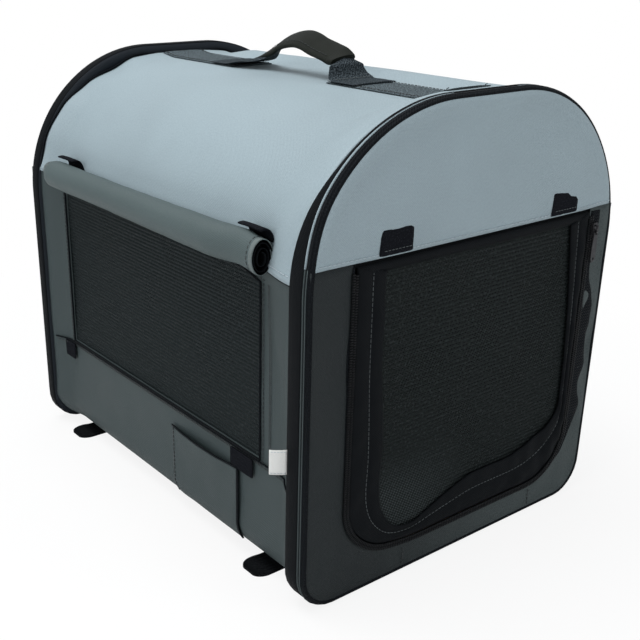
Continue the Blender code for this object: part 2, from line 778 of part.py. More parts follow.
def loop_line(offset):
    """The loop's line from its front foot, up, over and down, moved out square to itself by an offset."""
    span = HANDLE_REAR_FOOT - HANDLE_FRONT_FOOT
    bed = STRAP_TOP + GAP + STRAP_THICKNESS / 2
    points = [(HANDLE_FRONT_FOOT - HANDLE_SEWN, bed)]
    for along, up in LOOP_SHARES:
        points.append((HANDLE_FRONT_FOOT + span * along, bed + HANDLE_RISE * up))
    points.append((HANDLE_REAR_FOOT + HANDLE_SEWN, bed))
    moved = []
    for index, point in enumerate(points):
        before = points[max(index - 1, 0)]
        after = points[min(index + 1, len(points) - 1)]
        along = after[0] - before[0]
        up = after[1] - before[1]
        length = math.hypot(along, up)
        moved.append((point[0] - offset * up / length, point[1] + offset * along / length))
    return moved


def build_handle_straps():
    half = HANDLE_WIDTH / 2
    ends = (
        ("front", -BODY_HALF_LENGTH + HANDLE_END_SETBACK, HANDLE_FRONT_FOOT),
        ("rear", HANDLE_REAR_FOOT, BODY_HALF_LENGTH - HANDLE_END_SETBACK),
    )
    straps = []
    for name, low, high in ends:
        outline = [(-half, low), (half, low), (half, high), (-half, high)]
        strap = prism("handle_strap_" + name, outline, "XY", BODY_TOP + GAP, STRAP_TOP, WEBBING_BLACK)
        straps.append(strap)
    return straps


def build_loop():
    """Webbing that is as wide as the sewn straps at its feet and folds in towards the grip."""
    mesh = bmesh.new()
    rings = []
    for index, share in enumerate(LOOP_WIDTH_SHARES):
        corners = loop_ring(index, STRAP_THICKNESS / 2, HANDLE_WIDTH * share / 2)
        rings.append([mesh.verts.new(corner) for corner in corners])
    for ring, following in zip(rings, rings[1:]):
        for first in range(len(ring)):
            second = (first + 1) % len(ring)
            mesh.faces.new((ring[first], ring[second], following[second], following[first]))
    mesh.faces.new(rings[0])
    mesh.faces.new(rings[-1])
    loop = object_from("handle_loop", mesh, WEBBING_BLACK)
    move_origin(loop, (0.0, 0.0, STRAP_TOP))
    return loop


def loop_ring(index, offset, half):
    """The four corners of a flat section at one point of the loop."""
    outer = loop_line(offset)[index]
    inner = loop_line(-offset)[index]
    return [(-half, *inner), (half, *inner), (half, *outer), (-half, *outer)]


def build_grip():
    """A wrap sewn round the middle of the loop: a flat sleeve that follows its curve."""
    core = STRAP_THICKNESS / 2 + GAP
    half = HANDLE_WIDTH * min(LOOP_WIDTH_SHARES) / 2 + GAP
    mesh = bmesh.new()
    stations = range(GRIP_FIRST + 1, GRIP_LAST + 1)
    shells = []
    for offset, width in ((core + GRIP_WALL, half + GRIP_OVERHANG), (core, half)):
        rings = [loop_ring(index, offset, width) for index in stations]
        shells.append([[mesh.verts.new(corner) for corner in ring] for ring in rings])
    for shell in shells:
        for ring, following in zip(shell, shell[1:]):
            for first in range(len(ring)):
                second = (first + 1) % len(ring)
                mesh.faces.new((ring[first], ring[second], following[second], following[first]))
    for end in (0, -1):
        outer, inner = shells[0][end], shells[1][end]
        for first in range(len(outer)):
            second = (first + 1) % len(outer)
            mesh.faces.new((outer[first], outer[second], inner[second], inner[first]))
    grip = object_from("handle_grip", mesh, WEBBING_BLACK, 0.6)
    move_origin(grip, (0.0, 0.0, STRAP_TOP))
    return grip


def add_pivot(name, place, items):
    """An empty on a joint's axis that carries the pieces of one moving body."""
    pivot = bpy.data.objects.new(name, None)
    bpy.context.collection.objects.link(pivot)
    pivot.location = place
    bpy.context.view_layer.update()
    for item in items:
        item.parent = pivot
        item.matrix_parent_inverse = pivot.matrix_world.inverted()
    return pivot


def build_crate():
    front = build_hoop("front", -1)
    front += [build_arch_panel("front", -1), build_door_surround()]
    front.append(build_teeth("frame_zip_teeth", -TEETH_WIDTH - GAP, -GAP))
    rear = build_hoop("rear", 1)
    rear += [build_arch_panel("rear", 1)] + build_rear_panel()
    door = build_door()
    slider = build_slider()
    pull = build_pull()
    tabs = build_front_tabs()
    build_roof()
    build_base()
    build_ties()
    for name, side in (("left", -1), ("right", 1)):
        build_wall(name, side)
        build_flap(name, side)
        build_side_tabs(name, side)
        build_patches(name, side)
    build_pocket()
    build_label()
    build_handle_straps()
    build_loop()
    build_grip()
    pivot_y = SLEEVE_BACK + GAP
    moving = front + door + [slider, pull] + tabs
    add_pivot("front_fold_pivot", (0.0, -pivot_y, FRONT_PIVOT_HEIGHT), moving)
    add_pivot("rear_fold_pivot", (0.0, pivot_y, REAR_PIVOT_HEIGHT), rear)


clear_scene()
build_crate()
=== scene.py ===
import math

import bmesh
import bpy
from mathutils import Matrix, Vector, noise


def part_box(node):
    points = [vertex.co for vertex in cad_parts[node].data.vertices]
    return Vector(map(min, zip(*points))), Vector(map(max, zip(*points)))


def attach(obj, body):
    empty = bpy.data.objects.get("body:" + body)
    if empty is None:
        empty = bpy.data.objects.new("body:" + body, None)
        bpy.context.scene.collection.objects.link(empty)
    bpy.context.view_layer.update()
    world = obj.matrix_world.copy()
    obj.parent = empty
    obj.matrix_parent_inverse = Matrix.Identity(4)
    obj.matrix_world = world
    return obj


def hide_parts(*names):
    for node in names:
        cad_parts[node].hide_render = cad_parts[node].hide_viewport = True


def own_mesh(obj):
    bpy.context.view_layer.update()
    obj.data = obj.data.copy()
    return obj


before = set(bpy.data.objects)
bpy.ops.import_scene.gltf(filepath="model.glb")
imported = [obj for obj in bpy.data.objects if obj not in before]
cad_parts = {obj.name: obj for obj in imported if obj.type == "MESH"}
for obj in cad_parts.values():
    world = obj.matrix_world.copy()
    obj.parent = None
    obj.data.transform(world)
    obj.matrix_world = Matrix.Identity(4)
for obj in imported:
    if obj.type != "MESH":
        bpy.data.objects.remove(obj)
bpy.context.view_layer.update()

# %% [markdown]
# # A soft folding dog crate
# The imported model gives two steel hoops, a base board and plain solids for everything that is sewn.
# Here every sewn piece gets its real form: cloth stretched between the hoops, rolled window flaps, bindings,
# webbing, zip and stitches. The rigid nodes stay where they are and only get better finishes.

hoop_low, hoop_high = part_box("front_hoop_sleeve")
wall_low, wall_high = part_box("left_wall")
roof_low, roof_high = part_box("roof_panel")
HOOP_BACK = -hoop_high.y
PANEL_Y = -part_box("front_arch_panel")[0].y
SHELL_END = wall_high.y
SEAM = (wall_high.z + roof_low.z) / 2
SHOULDER_OF_HOOP = 0.140
FOOT_OF_HOOP = 0.034
INSIDE, LOW_INSIDE, FAR_ABOVE = Vector((0, 0, 0.2)), Vector((0, 0, 0.15)), Vector((0, 0, 5))


def arch(half, floor, top, foot, shoulder):
    return {"half": half, "floor": floor, "top": top, "foot": foot, "shoulder": shoulder}


hoop = arch(hoop_high.x, hoop_low.z, hoop_high.z, FOOT_OF_HOOP, SHOULDER_OF_HOOP)
step_in = hoop["half"] + wall_low.x
shell = arch(-wall_low.x, wall_low.z, roof_high.z, FOOT_OF_HOOP, SHOULDER_OF_HOOP - step_in)
print("hoop", hoop, "shell", shell, "seam at", round(SEAM, 4))

# %% [markdown]
# The photograph was taken from the front left, a little above the roof. The camera below was fitted to the hoops,
# the seams and the base, so its place is a measured one. The small shift stands for the way the picture was cropped.

# %% Camera
AZIMUTH = math.radians(37.336)
DOWN = math.radians(21.927)
ROLL = math.radians(0.391)
FRAME_SIZE = 640
FOCAL_PIXELS = 998.62
MIDDLE_PIXEL = (266.91, 340.93)
CAMERA_PLACE = (-0.6062, -0.7417, 0.5113)
SENSOR = 36.0

looking = Vector((math.sin(AZIMUTH) * math.cos(DOWN), math.cos(AZIMUTH) * math.cos(DOWN), -math.sin(DOWN)))
level_right = looking.cross(Vector((0, 0, 1))).normalized()
level_up = level_right.cross(looking)
right = math.cos(ROLL) * level_right + math.sin(ROLL) * level_up
up = math.cos(ROLL) * level_up - math.sin(ROLL) * level_right
turn = Matrix((right, up, -looking)).transposed().to_4x4()

lens = bpy.data.cameras.new("camera")
lens.sensor_width = SENSOR
lens.lens = FOCAL_PIXELS / FRAME_SIZE * SENSOR
lens.shift_x = (FRAME_SIZE / 2 - MIDDLE_PIXEL[0]) / FRAME_SIZE
lens.shift_y = (MIDDLE_PIXEL[1] - FRAME_SIZE / 2) / FRAME_SIZE
camera = bpy.data.objects.new("camera", lens)
camera.matrix_world = Matrix.Translation(CAMERA_PLACE) @ turn
bpy.context.scene.collection.objects.link(camera)
bpy.context.scene.camera = camera
bpy.context.scene.view_settings.view_transform = "Standard"
print("lens", round(lens.lens, 1), "mm")

# %% [markdown]
# ## A pale studio
# Soft cloth shows its form through slow changes of light, so the lamps are large. The strongest one hangs above,
# as in the photograph, where the roof is much lighter than the front. The white of the background is in the colours
# of the floor and the world as the camera sees them, and never in extra light on the crate.

# %% Small helpers for node trees


def put(tree, kind, inputs=None, **settings):
    """Adds a node, sets its options and fills or links its inputs."""
    made = tree.nodes.new(kind)
    for key, value in settings.items():
        setattr(made, key, value)
    for key, value in (inputs or {}).items():
        if isinstance(value, bpy.types.NodeSocket):
            tree.links.new(value, made.inputs[key])
        else:
            made.inputs[key].default_value = value
    return made


def sums(tree, operation, first, second=0.0, clamp=False):
    return put(tree, "ShaderNodeMath", {0: first, 1: second}, operation=operation, use_clamp=clamp).outputs[0]


def times(tree, first, second, clamp=False):
    return sums(tree, "MULTIPLY", first, second, clamp)


def plus(tree, first, second, clamp=False):
    return sums(tree, "ADD", first, second, clamp)


def scaled(tree, value, factor, offset=0.0):
    """value x factor + offset."""
    return put(tree, "ShaderNodeMath", {0: value, 1: factor, 2: offset}, operation="MULTIPLY_ADD").outputs[0]


def soft_step(tree, value, low, high):
    step = put(tree, "ShaderNodeMapRange", {0: value, 1: low, 2: high}, interpolation_type="SMOOTHSTEP")
    return step.outputs[0]


def object_place(tree):
    return put(tree, "ShaderNodeTexCoord").outputs["Object"]


def cleared(holder):
    """The empty node tree of a world or a material."""
    holder.use_nodes = True
    holder.node_tree.nodes.clear()
    return holder.node_tree


# %% Floor, world and lamps
WHITE_NEAR = 0.86
NEAR_EDGE, FAR_EDGE = 0.36, 0.75

world = bpy.data.worlds.new("studio")
tree = cleared(world)
seen = put(tree, "ShaderNodeLightPath")
shown_white = sums(tree, "MAXIMUM", seen.outputs["Is Camera Ray"], seen.outputs["Is Transmission Ray"])
room = put(tree, "ShaderNodeBackground", {"Color": (0.93, 0.97, 1.0, 1), "Strength": 0.50})
white = put(tree, "ShaderNodeBackground", {"Color": (1, 1, 1, 1), "Strength": 1.0})
both = put(tree, "ShaderNodeMixShader", {0: shown_white, 1: room.outputs[0], 2: white.outputs[0]})
put(tree, "ShaderNodeOutputWorld", {0: both.outputs[0]})
bpy.context.scene.world = world

floor_mesh = bmesh.new()
bmesh.ops.create_grid(floor_mesh, x_segments=1, y_segments=1, size=4.0)
floor_data = bpy.data.meshes.new("floor")
floor_mesh.to_mesh(floor_data)
floor_mesh.free()
floor = bpy.data.objects.new("floor", floor_data)
bpy.context.scene.collection.objects.link(floor)
paper = bpy.data.materials.new("studio_paper")
tree = cleared(paper)
seen = put(tree, "ShaderNodeLightPath")
matt = put(tree, "ShaderNodeBsdfDiffuse", {"Color": (0.80, 0.80, 0.80, 1)})
lit = put(tree, "ShaderNodeEmission", {"Color": (1, 1, 1, 1), "Strength": 1.0})
away = put(tree, "ShaderNodeVectorMath", {0: object_place(tree)}, operation="LENGTH").outputs["Value"]
whiteness = scaled(tree, soft_step(tree, away, NEAR_EDGE, FAR_EDGE), 1 - WHITE_NEAR, WHITE_NEAR)
share = times(tree, seen.outputs["Is Camera Ray"], whiteness)
both = put(tree, "ShaderNodeMixShader", {0: share, 1: matt.outputs[0], 2: lit.outputs[0]})
put(tree, "ShaderNodeOutputMaterial", {0: both.outputs[0]})
floor_data.materials.append(paper)


def hang_lamp(name, place, size, watts):
    lamp = bpy.data.lights.new(name, "AREA")
    lamp.shape = "DISK"
    lamp.size = size
    lamp.energy = watts
    holder = bpy.data.objects.new(name, lamp)
    aim = (INSIDE - Vector(place)).to_track_quat("-Z", "Y")
    holder.matrix_world = Matrix.Translation(place) @ aim.to_matrix().to_4x4()
    bpy.context.scene.collection.objects.link(holder)


hang_lamp("top_lamp", (-0.5, 0.3, 2.2), 1.6, 42.0)
hang_lamp("front_lamp", (1.1, -2.2, 1.2), 1.2, 14.0)
hang_lamp("side_lamp", (-2.2, -0.4, 1.0), 1.2, 12.0)

# %% [markdown]
# ## Finishes
# The crate is sewn from coated polyester in two colours. Close up it is a plain weave of thin threads, a little
# uneven in tone, with a faint gloss from its coating. The pattern is laid in a UV map that holds the cloth's flat
# size in metres, so the threads keep their size and follow each panel round the hoops. Black tape gets very little
# gloss of its own, because a bright edge on black cloth makes it look grey.

# %% Woven cloth


def new_finish(name, colour, roughness, metallic=0.0, sheen=0.0, gloss=0.5):
    finish = bpy.data.materials.new(name)
    finish.use_nodes = True
    shader = finish.node_tree.nodes["Principled BSDF"]
    shader.inputs["Base Color"].default_value = (*colour, 1)
    shader.inputs["Roughness"].default_value = roughness
    shader.inputs["Metallic"].default_value = metallic
    shader.inputs["Sheen Weight"].default_value = sheen
    shader.inputs["Sheen Roughness"].default_value = 0.4
    shader.inputs["Specular IOR Level"].default_value = gloss
    return finish, finish.node_tree, shader


def flat_cloth_places(tree):
    """The two distances on the flat cloth, in metres."""
    laid = put(tree, "ShaderNodeUVMap", uv_map="flat")
    split = put(tree, "ShaderNodeSeparateXYZ", {0: laid.outputs[0]})
    return laid.outputs[0], split.outputs[0], split.outputs[1]


def ripple(tree, distance, pitch):
    return sums(tree, "SINE", times(tree, distance, math.pi / pitch))


def cloudy(tree, place, scale, detail=2.0):
    return put(tree, "ShaderNodeTexNoise", {"Vector": place, "Scale": scale, "Detail": detail}).outputs[0]


def paint(tree, shader, colour, worn_and_lit_colour, tone, wear_and_painted_light):
    """The colour times a tone, turned towards a second colour by a mask: scuffing on most finishes, painted light on
    the door's surround and the door net.
    """
    plain = put(tree, "ShaderNodeMix", {0: 1.0, 6: (*colour, 1)}, data_type="RGBA", blend_type="MULTIPLY")
    grey = put(tree, "ShaderNodeCombineColor", {0: tone, 1: tone, 2: tone})
    tree.links.new(grey.outputs[0], plain.inputs[7])
    rubbed_and_lit = put(tree, "ShaderNodeMix", {0: wear_and_painted_light, 6: plain.outputs[2], 7: (*worn_and_lit_colour, 1)}, data_type="RGBA")
    tree.links.new(rubbed_and_lit.outputs[2], shader.inputs["Base Color"])


def raise_surface(tree, shader, height, depth):
    bump = put(tree, "ShaderNodeBump", {"Height": height, "Distance": depth, "Strength": 1.0})
    tree.links.new(bump.outputs[0], shader.inputs["Normal"])


def woven_cloth(name, colour, thread=0.0009, depth=0.00012, roughness=0.6, sheen=0.0, gloss=0.25, uneven=0.2,
                rub_and_painted_light=0.55, worn_and_lit_colour=None):
    """Coated plain weave. uneven is how much the tone changes from place to place; the strength after it says how
    strongly scuffed hems and painted light show, the door's surround using it for painted light and shade.
    """
    finish, tree, shader = new_finish(name, colour, roughness, sheen=sheen, gloss=gloss)
    flat, across, along = flat_cloth_places(tree)
    weave = times(tree, ripple(tree, across, thread), ripple(tree, along, thread))
    patches = cloudy(tree, object_place(tree), 11.0, 3.0)
    yarn = cloudy(tree, flat, 0.55 / thread)
    tone = scaled(tree, yarn, 0.28, scaled(tree, patches, uneven, 0.86 - uneven / 2))
    tone = scaled(tree, weave, 0.06, tone)
    rubbed_and_lit = put(tree, "ShaderNodeAttribute", attribute_name="wear_and_painted_light").outputs["Fac"]
    rubbed_and_lit = times(tree, rubbed_and_lit, scaled(tree, yarn, rub_and_painted_light), clamp=True)
    worn_and_lit_colour = worn_and_lit_colour or tuple(min(1.0, channel * 1.4 + 0.015) for channel in colour)
    paint(tree, shader, colour, worn_and_lit_colour, tone, rubbed_and_lit)
    tree.links.new(scaled(tree, patches, 0.22, roughness - 0.11), shader.inputs["Roughness"])
    raise_surface(tree, shader, scaled(tree, yarn, 1.4, weave), depth)
    return finish


light_cloth = woven_cloth("light_cloth", (0.262, 0.328, 0.360), roughness=0.55, sheen=0.05)
dark_cloth = woven_cloth("dark_cloth", (0.043, 0.058, 0.060), roughness=0.55, gloss=0.2)
roll_cloth = woven_cloth("roll_cloth", (0.066, 0.090, 0.092), roughness=0.52)
black_cloth = woven_cloth("black_cloth", (0.0050, 0.0060, 0.0072), thread=0.0011, gloss=0.04)
slate_cloth = woven_cloth("slate_cloth", (0.0130, 0.0165, 0.0210), thread=0.0011, gloss=0.08)
# The door's surround: its near-black colour is painted shade, and the dark grey it turns to on the right is painted
# light.
surround_painted_shade_cloth = woven_cloth("surround_cloth", (0.0085, 0.0110, 0.0125), gloss=0.15, rub_and_painted_light=1.9, worn_and_lit_colour=(0.058, 0.072, 0.073))
hem_cloth = woven_cloth("hem_cloth", (0.120, 0.145, 0.145), roughness=0.55)
label_cloth = woven_cloth("label_cloth", (0.72, 0.72, 0.70), thread=0.0005, depth=0.00005, roughness=0.45, uneven=0.06)
print("cloths", [m.name for m in bpy.data.materials])

# %% [markdown]
# Webbing and binding are woven too, but thick: ribs run across the tape, and the handle's webbing mixes black and
# grey yarn, which gives it a salt-and-pepper look. Hook-and-loop tape is a mat of tiny hooks, so it is made
# of fine noise with no gloss. The knitted mesh is so fine and dark that it hides what is behind it: only a
# tenth of the light comes through its holes, and a little more where it is stretched thin.

# %% Tapes, mesh and small hardware


def ribbed_tape(name, colour, fleck, rib=0.0016, depth=0.0003, roughness=0.7, mixed=0.5, grain=620.0):
    """Ribbed webbing or tape. mixed is how much of the lighter yarn shows between the ribs."""
    finish, tree, shader = new_finish(name, colour, roughness, gloss=0.05)
    flat, across, along = flat_cloth_places(tree)
    ribs = ripple(tree, along, rib)
    twill = ripple(tree, plus(tree, across, along), rib * 0.9)
    yarn = cloudy(tree, flat, grain, 1.0)
    tone = scaled(tree, cloudy(tree, flat, 60.0), 0.4, 0.8)
    tone = scaled(tree, twill, 0.08, scaled(tree, ribs, 0.10, tone))
    paint(tree, shader, colour, fleck, tone, scaled(tree, soft_step(tree, yarn, 0.46, 0.62), mixed))
    raise_surface(tree, shader, plus(tree, plus(tree, ribs, twill), yarn), depth)
    return finish


def hook_tape(name, colour):
    finish, tree, shader = new_finish(name, colour, 0.95, gloss=0.05)
    flat, _, along = flat_cloth_places(tree)
    hooks = cloudy(tree, flat, 900.0, 1.0)
    pale = scaled(tree, soft_step(tree, hooks, 0.55, 0.75), 0.4)
    paint(tree, shader, colour, (0.035, 0.037, 0.042), scaled(tree, hooks, 1.2, 0.4), pale)
    raise_surface(tree, shader, scaled(tree, ripple(tree, along, 0.0018), 0.3, hooks), 0.0004)
    return finish


def knitted_mesh(name, colour, pitch, least, most):
    """A fine net. least and most say how much shows through its holes, where it is slack and where it is stretched."""
    finish, tree, shader = new_finish(name, colour, 0.65, gloss=0.05)
    flat, across, along = flat_cloth_places(tree)
    rows = ripple(tree, along, pitch / 2)
    links = ripple(tree, scaled(tree, along, 0.5, across), pitch / 2)
    hole = soft_step(tree, times(tree, rows, links), 0.10, 0.60)
    thin = scaled(tree, soft_step(tree, cloudy(tree, flat, 14.0), 0.45, 0.75), most - least, least)
    yarn = cloudy(tree, flat, 420.0)
    tone = scaled(tree, rows, 0.14, scaled(tree, yarn, 0.9, 0.55))
    lit = put(tree, "ShaderNodeAttribute", attribute_name="wear_and_painted_light").outputs["Fac"]
    # glint: painted highlights on scattered yarns, and painted light in the holes where the lit mask is set.
    glint = scaled(tree, soft_step(tree, yarn, 0.52, 0.72), 0.30)
    glint = plus(tree, glint, times(tree, hole, lit), clamp=True)
    paint(tree, shader, colour, (0.052, 0.062, 0.064), tone, glint)
    gap = times(tree, hole, thin)
    tree.links.new(sums(tree, "SUBTRACT", 1.0, gap), shader.inputs["Alpha"])
    raise_surface(tree, shader, rows, 0.0003)
    return finish


binding = ribbed_tape("binding", (0.0052, 0.0066, 0.0085), (0.014, 0.017, 0.020), rib=0.0014, mixed=0.3, roughness=0.55)
WEBBING_WEAVE = {"depth": 0.0002, "roughness": 0.75, "grain": 760.0}
webbing = ribbed_tape("webbing", (0.024, 0.032, 0.038), (0.190, 0.235, 0.255), mixed=0.85, **WEBBING_WEAVE)
# The loop's webbing is the roof straps' webbing made darker, as painted shade.
loop_webbing_painted_shade = ribbed_tape("loop_webbing_painted_shade", (0.014, 0.019, 0.023), (0.085, 0.105, 0.118), mixed=0.8, **WEBBING_WEAVE)
strap_black = ribbed_tape("strap_black", (0.0052, 0.0060, 0.0070), (0.016, 0.018, 0.020), rib=0.0020, mixed=0.4)
grip_cloth = woven_cloth("grip_cloth", (0.0072, 0.0090, 0.0066), thread=0.0006, roughness=0.5, gloss=0.12, uneven=0.35)
tab_tape = hook_tape("tab_tape", (0.0060, 0.0068, 0.0092))
window_net = knitted_mesh("window_net", (0.0125, 0.0165, 0.0175), pitch=0.0034, least=0.05, most=0.14)
door_net = knitted_mesh("door_net", (0.0085, 0.0110, 0.0110), pitch=0.0036, least=0.06, most=0.18)
THREADS = {
    "dark": (new_finish("dark_thread", (0.020, 0.024, 0.026), 0.6)[0], "black_fabric"),
    "grey": (new_finish("grey_thread", (0.075, 0.088, 0.092), 0.6)[0], "dark_fabric"),
    "pale": (new_finish("pale_thread", (0.40, 0.46, 0.50), 0.6)[0], "light_fabric"),
}


def metal_finish(name, colour, roughness, metallic, scratch, gloss=0.5):
    """Thin paint, bare steel or nylon with fine scratches and scuffed spots, on Object coordinates."""
    finish, tree, shader = new_finish(name, colour, roughness, metallic, gloss=gloss)
    spot = object_place(tree)
    wide = put(tree, "ShaderNodeMapping", {"Vector": spot, "Scale": (40.0, 40.0, 900.0)}).outputs[0]
    scuff = cloudy(tree, wide, 3.0, 3.0)
    rubbed_and_lit = scaled(tree, soft_step(tree, cloudy(tree, spot, 260.0), 0.58, 0.75), scratch)
    worn_and_lit_colour = tuple(min(1.0, channel * 2.5 + 0.04) for channel in colour)
    paint(tree, shader, colour, worn_and_lit_colour, scaled(tree, scuff, 0.3, 0.85), rubbed_and_lit)
    tree.links.new(scaled(tree, scuff, 0.25, roughness - 0.1), shader.inputs["Roughness"])
    raise_surface(tree, shader, scuff, 0.00005)
    return finish


def refinish(finish, *names):
    """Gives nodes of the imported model, which keep their shape, a finish of their own."""
    for name in names:
        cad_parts[name].data.materials.clear()
        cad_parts[name].data.materials.append(finish)


coil_nylon = metal_finish("coil_nylon", (0.0060, 0.0068, 0.0080), 0.5, 0.0, 0.1, gloss=0.12)
refinish(metal_finish("black_zinc", (0.03, 0.03, 0.033), 0.35, 0.7, 0.5), "zip_slider", "zip_pull")
refinish(metal_finish("drawn_steel", (0.40, 0.40, 0.41), 0.35, 1.0, 0.3), "front_hoop_tube", "rear_hoop_tube")
BOARD_COLOUR = (0.32, 0.22, 0.13)
board_finish, tree, shader = new_finish("hardboard", BOARD_COLOUR, 0.7)
fibre = cloudy(tree, object_place(tree), 700.0, 3.0)
stains = cloudy(tree, object_place(tree), 30.0)
paint(tree, shader, BOARD_COLOUR, (0.45, 0.34, 0.22), plus(tree, fibre, 0.5), stains)
raise_surface(tree, shader, fibre, 0.0003)
refinish(board_finish, "base_board")

# %% [markdown]
# ## Cutting and sewing
# A panel of the crate starts as flat cloth on the cutting table. In Blender that is a grid. It could be modelled in
# place, but a flat grid that is then laid over the hoops keeps its real size and carries the weave with it.
# Tapes, piping and tubes are a short profile that is extruded along a line.

# %% Flat cloth, sweeps and finished pieces


def new_cloth_mesh():
    """A mesh that remembers, at each point, where it lay on the flat cloth, how scuffed it is and how much painted
    light it gets.
    """
    mesh = bmesh.new()
    for layer in ("run", "girth", "wear_and_painted_light"):
        mesh.verts.layers.float.new(layer)
    mesh.loops.layers.uv.new("flat")
    return mesh


def cut_flat(low, high, cells, lines_x=(), lines_y=(), hole=None):
    """A rectangle of cloth between two corners, with extra grid lines and an optional rectangular hole."""
    mesh = new_cloth_mesh()
    bmesh.ops.create_grid(mesh, x_segments=cells[0], y_segments=cells[1], size=0.5)
    bmesh.ops.translate(mesh, vec=(0.5, 0.5, 0), verts=mesh.verts)
    bmesh.ops.scale(mesh, vec=(high[0] - low[0], high[1] - low[1], 1), verts=mesh.verts)
    bmesh.ops.translate(mesh, vec=(low[0], low[1], 0), verts=mesh.verts)
    if hole:
        lines_x = (*lines_x, hole[0][0], hole[1][0])
        lines_y = (*lines_y, hole[0][1], hole[1][1])
    for lines, normal in ((lines_x, (1, 0, 0)), (lines_y, (0, 1, 0))):
        for line in lines:
            everything = mesh.verts[:] + mesh.edges[:] + mesh.faces[:]
            bmesh.ops.bisect_plane(mesh, geom=everything, dist=1e-6, plane_co=Vector(normal) * line, plane_no=normal)
    if hole:
        inside = []
        for face in mesh.faces:
            middle = face.calc_center_median()
            if hole[0][0] < middle.x < hole[1][0] and hole[0][1] < middle.y < hole[1][1]:
                inside.append(face)
        bmesh.ops.delete(mesh, geom=inside, context="FACES")
    return mesh


def hang(mesh, place, flat=None, wear_and_painted_light=None):
    """Lays the flat cloth where it belongs. place turns a flat point into a point of the crate."""
    run, girth, rub_and_painted_light = (mesh.verts.layers.float[name] for name in ("run", "girth", "wear_and_painted_light"))
    for vertex in mesh.verts:
        x, y = vertex.co.x, vertex.co.y
        vertex.co = place(x, y)
        vertex[run], vertex[girth] = flat(vertex.co) if flat else (x, y)
        vertex[rub_and_painted_light] = wear_and_painted_light(x, y) if wear_and_painted_light else 0.0


def sweep(mesh, stations, profile, loop=False, ring=False):
    """Extrudes a profile along a line. A station is a point, its direction and its outward side.

    profile(share) gives the profile's points as (sideways, outwards) at a share of the way. loop joins the last
    station to the first, and ring joins the profile's last point to its first.
    """
    run, girth = mesh.verts.layers.float["run"], mesh.verts.layers.float["girth"]
    rows = []
    edges = []
    travelled = 0.0
    for index, (point, ahead, out) in enumerate(stations):
        ahead = Vector(ahead).normalized()
        side = ahead.cross(Vector(out)).normalized()
        out = side.cross(ahead)
        spots = [Vector(point) + side * a + out * b for a, b in profile(index / max(1, len(stations) - 1))]
        if index == 0:
            row = [mesh.verts.new(spot) for spot in spots]
            pairs = list(zip(row, row[1:] + row[:1])) if ring else list(zip(row, row[1:]))
            edges = [mesh.edges.new(pair) for pair in pairs]
        else:
            travelled += (Vector(point) - Vector(stations[index - 1][0])).length
            made = bmesh.ops.extrude_edge_only(mesh, edges=edges)["geom"]
            fresh = {item for item in made if isinstance(item, bmesh.types.BMVert)}
            edges = [item for item in made if isinstance(item, bmesh.types.BMEdge) and set(item.verts) <= fresh]
            row = []
            for old in rows[-1]:
                row.append(next(edge.other_vert(old) for edge in old.link_edges if edge.other_vert(old) in fresh))
        across = 0.0
        for number, (vertex, spot) in enumerate(zip(row, spots)):
            across += (spots[number] - spots[number - 1]).length if number else 0.0
            vertex.co = spot
            vertex[run], vertex[girth] = travelled, across
        rows.append(row)
    if loop:
        last_edges = edges
        first_edges = [mesh.edges.get((a, b)) for a, b in zip(rows[0], rows[0][1:])]
        if ring:
            first_edges.append(mesh.edges.get((rows[0][-1], rows[0][0])))
        bmesh.ops.bridge_loops(mesh, edges=last_edges + first_edges)
    elif ring:
        for row in (rows[0], rows[-1]):
            bmesh.ops.contextual_create(mesh, geom=row)


def lay_pattern(mesh):
    """Writes the flat map from the remembered places. A face that crosses the join of a ring is put right."""
    run, girth = mesh.verts.layers.float["run"], mesh.verts.layers.float["girth"]
    flat = mesh.loops.layers.uv["flat"]
    for face in mesh.faces:
        spots = [[loop.vert[run], loop.vert[girth]] for loop in face.loops]
        reach = face.calc_perimeter()
        for part in (0, 1):
            most = max(spot[part] for spot in spots)
            for spot in spots:
                if most - spot[part] > reach:
                    spot[part] = most + reach / 4
        for loop, spot in zip(face.loops, spots):
            loop[flat].uv = spot


def box_pattern(mesh):
    """For small blocks: the pattern is laid straight on to each face, in metres."""
    flat = mesh.loops.layers.uv["flat"]
    for face in mesh.faces:
        normal = face.normal
        largest = max(range(3), key=lambda axis: abs(normal[axis]))
        kept = [axis for axis in (0, 1, 2) if axis != largest]
        for loop in face.loops:
            loop[flat].uv = (loop.vert.co[kept[0]], loop.vert.co[kept[1]])


def face_away(mesh, middle):
    """Turns a sheet so that its faces look away from a point."""
    mesh.normal_update()
    total = sum(face.normal.dot(face.calc_center_median() - middle) * face.calc_area() for face in mesh.faces)
    if total < 0:
        bmesh.ops.reverse_faces(mesh, faces=mesh.faces)


crumpling = []


def sew(mesh, name, body, finish, slot, replaces=(), thickness=0.0, lining=None, patterned=True, sharp=None):
    """Turns a mesh into a finished piece that rides on a body of the crate."""
    mesh.normal_update()
    (lay_pattern if patterned else box_pattern)(mesh)
    data = bpy.data.meshes.new(name)
    mesh.to_mesh(data)
    mesh.free()
    piece = bpy.data.objects.new(name, data)
    bpy.context.scene.collection.objects.link(piece)
    data.materials.append(finish)
    if lining:
        data.materials.append(lining)
    data.shade_smooth()
    if sharp:
        data.set_sharp_from_angle(angle=math.radians(sharp))
    if thickness:
        body_of_cloth = piece.modifiers.new("Cloth thickness", "SOLIDIFY")
        body_of_cloth.thickness = thickness
        body_of_cloth.offset = -1
        if lining:
            body_of_cloth.material_offset = 1
    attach(piece, body)
    if replaces:
        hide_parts(*replaces)
    if body in ("base", "handle") or body.startswith(("left_tab", "right_tab")):
        crumpling.append(piece)
    return piece


def upright(spot):
    """Where a point of an upright panel lay on the flat cloth."""
    return spot.x, spot.z


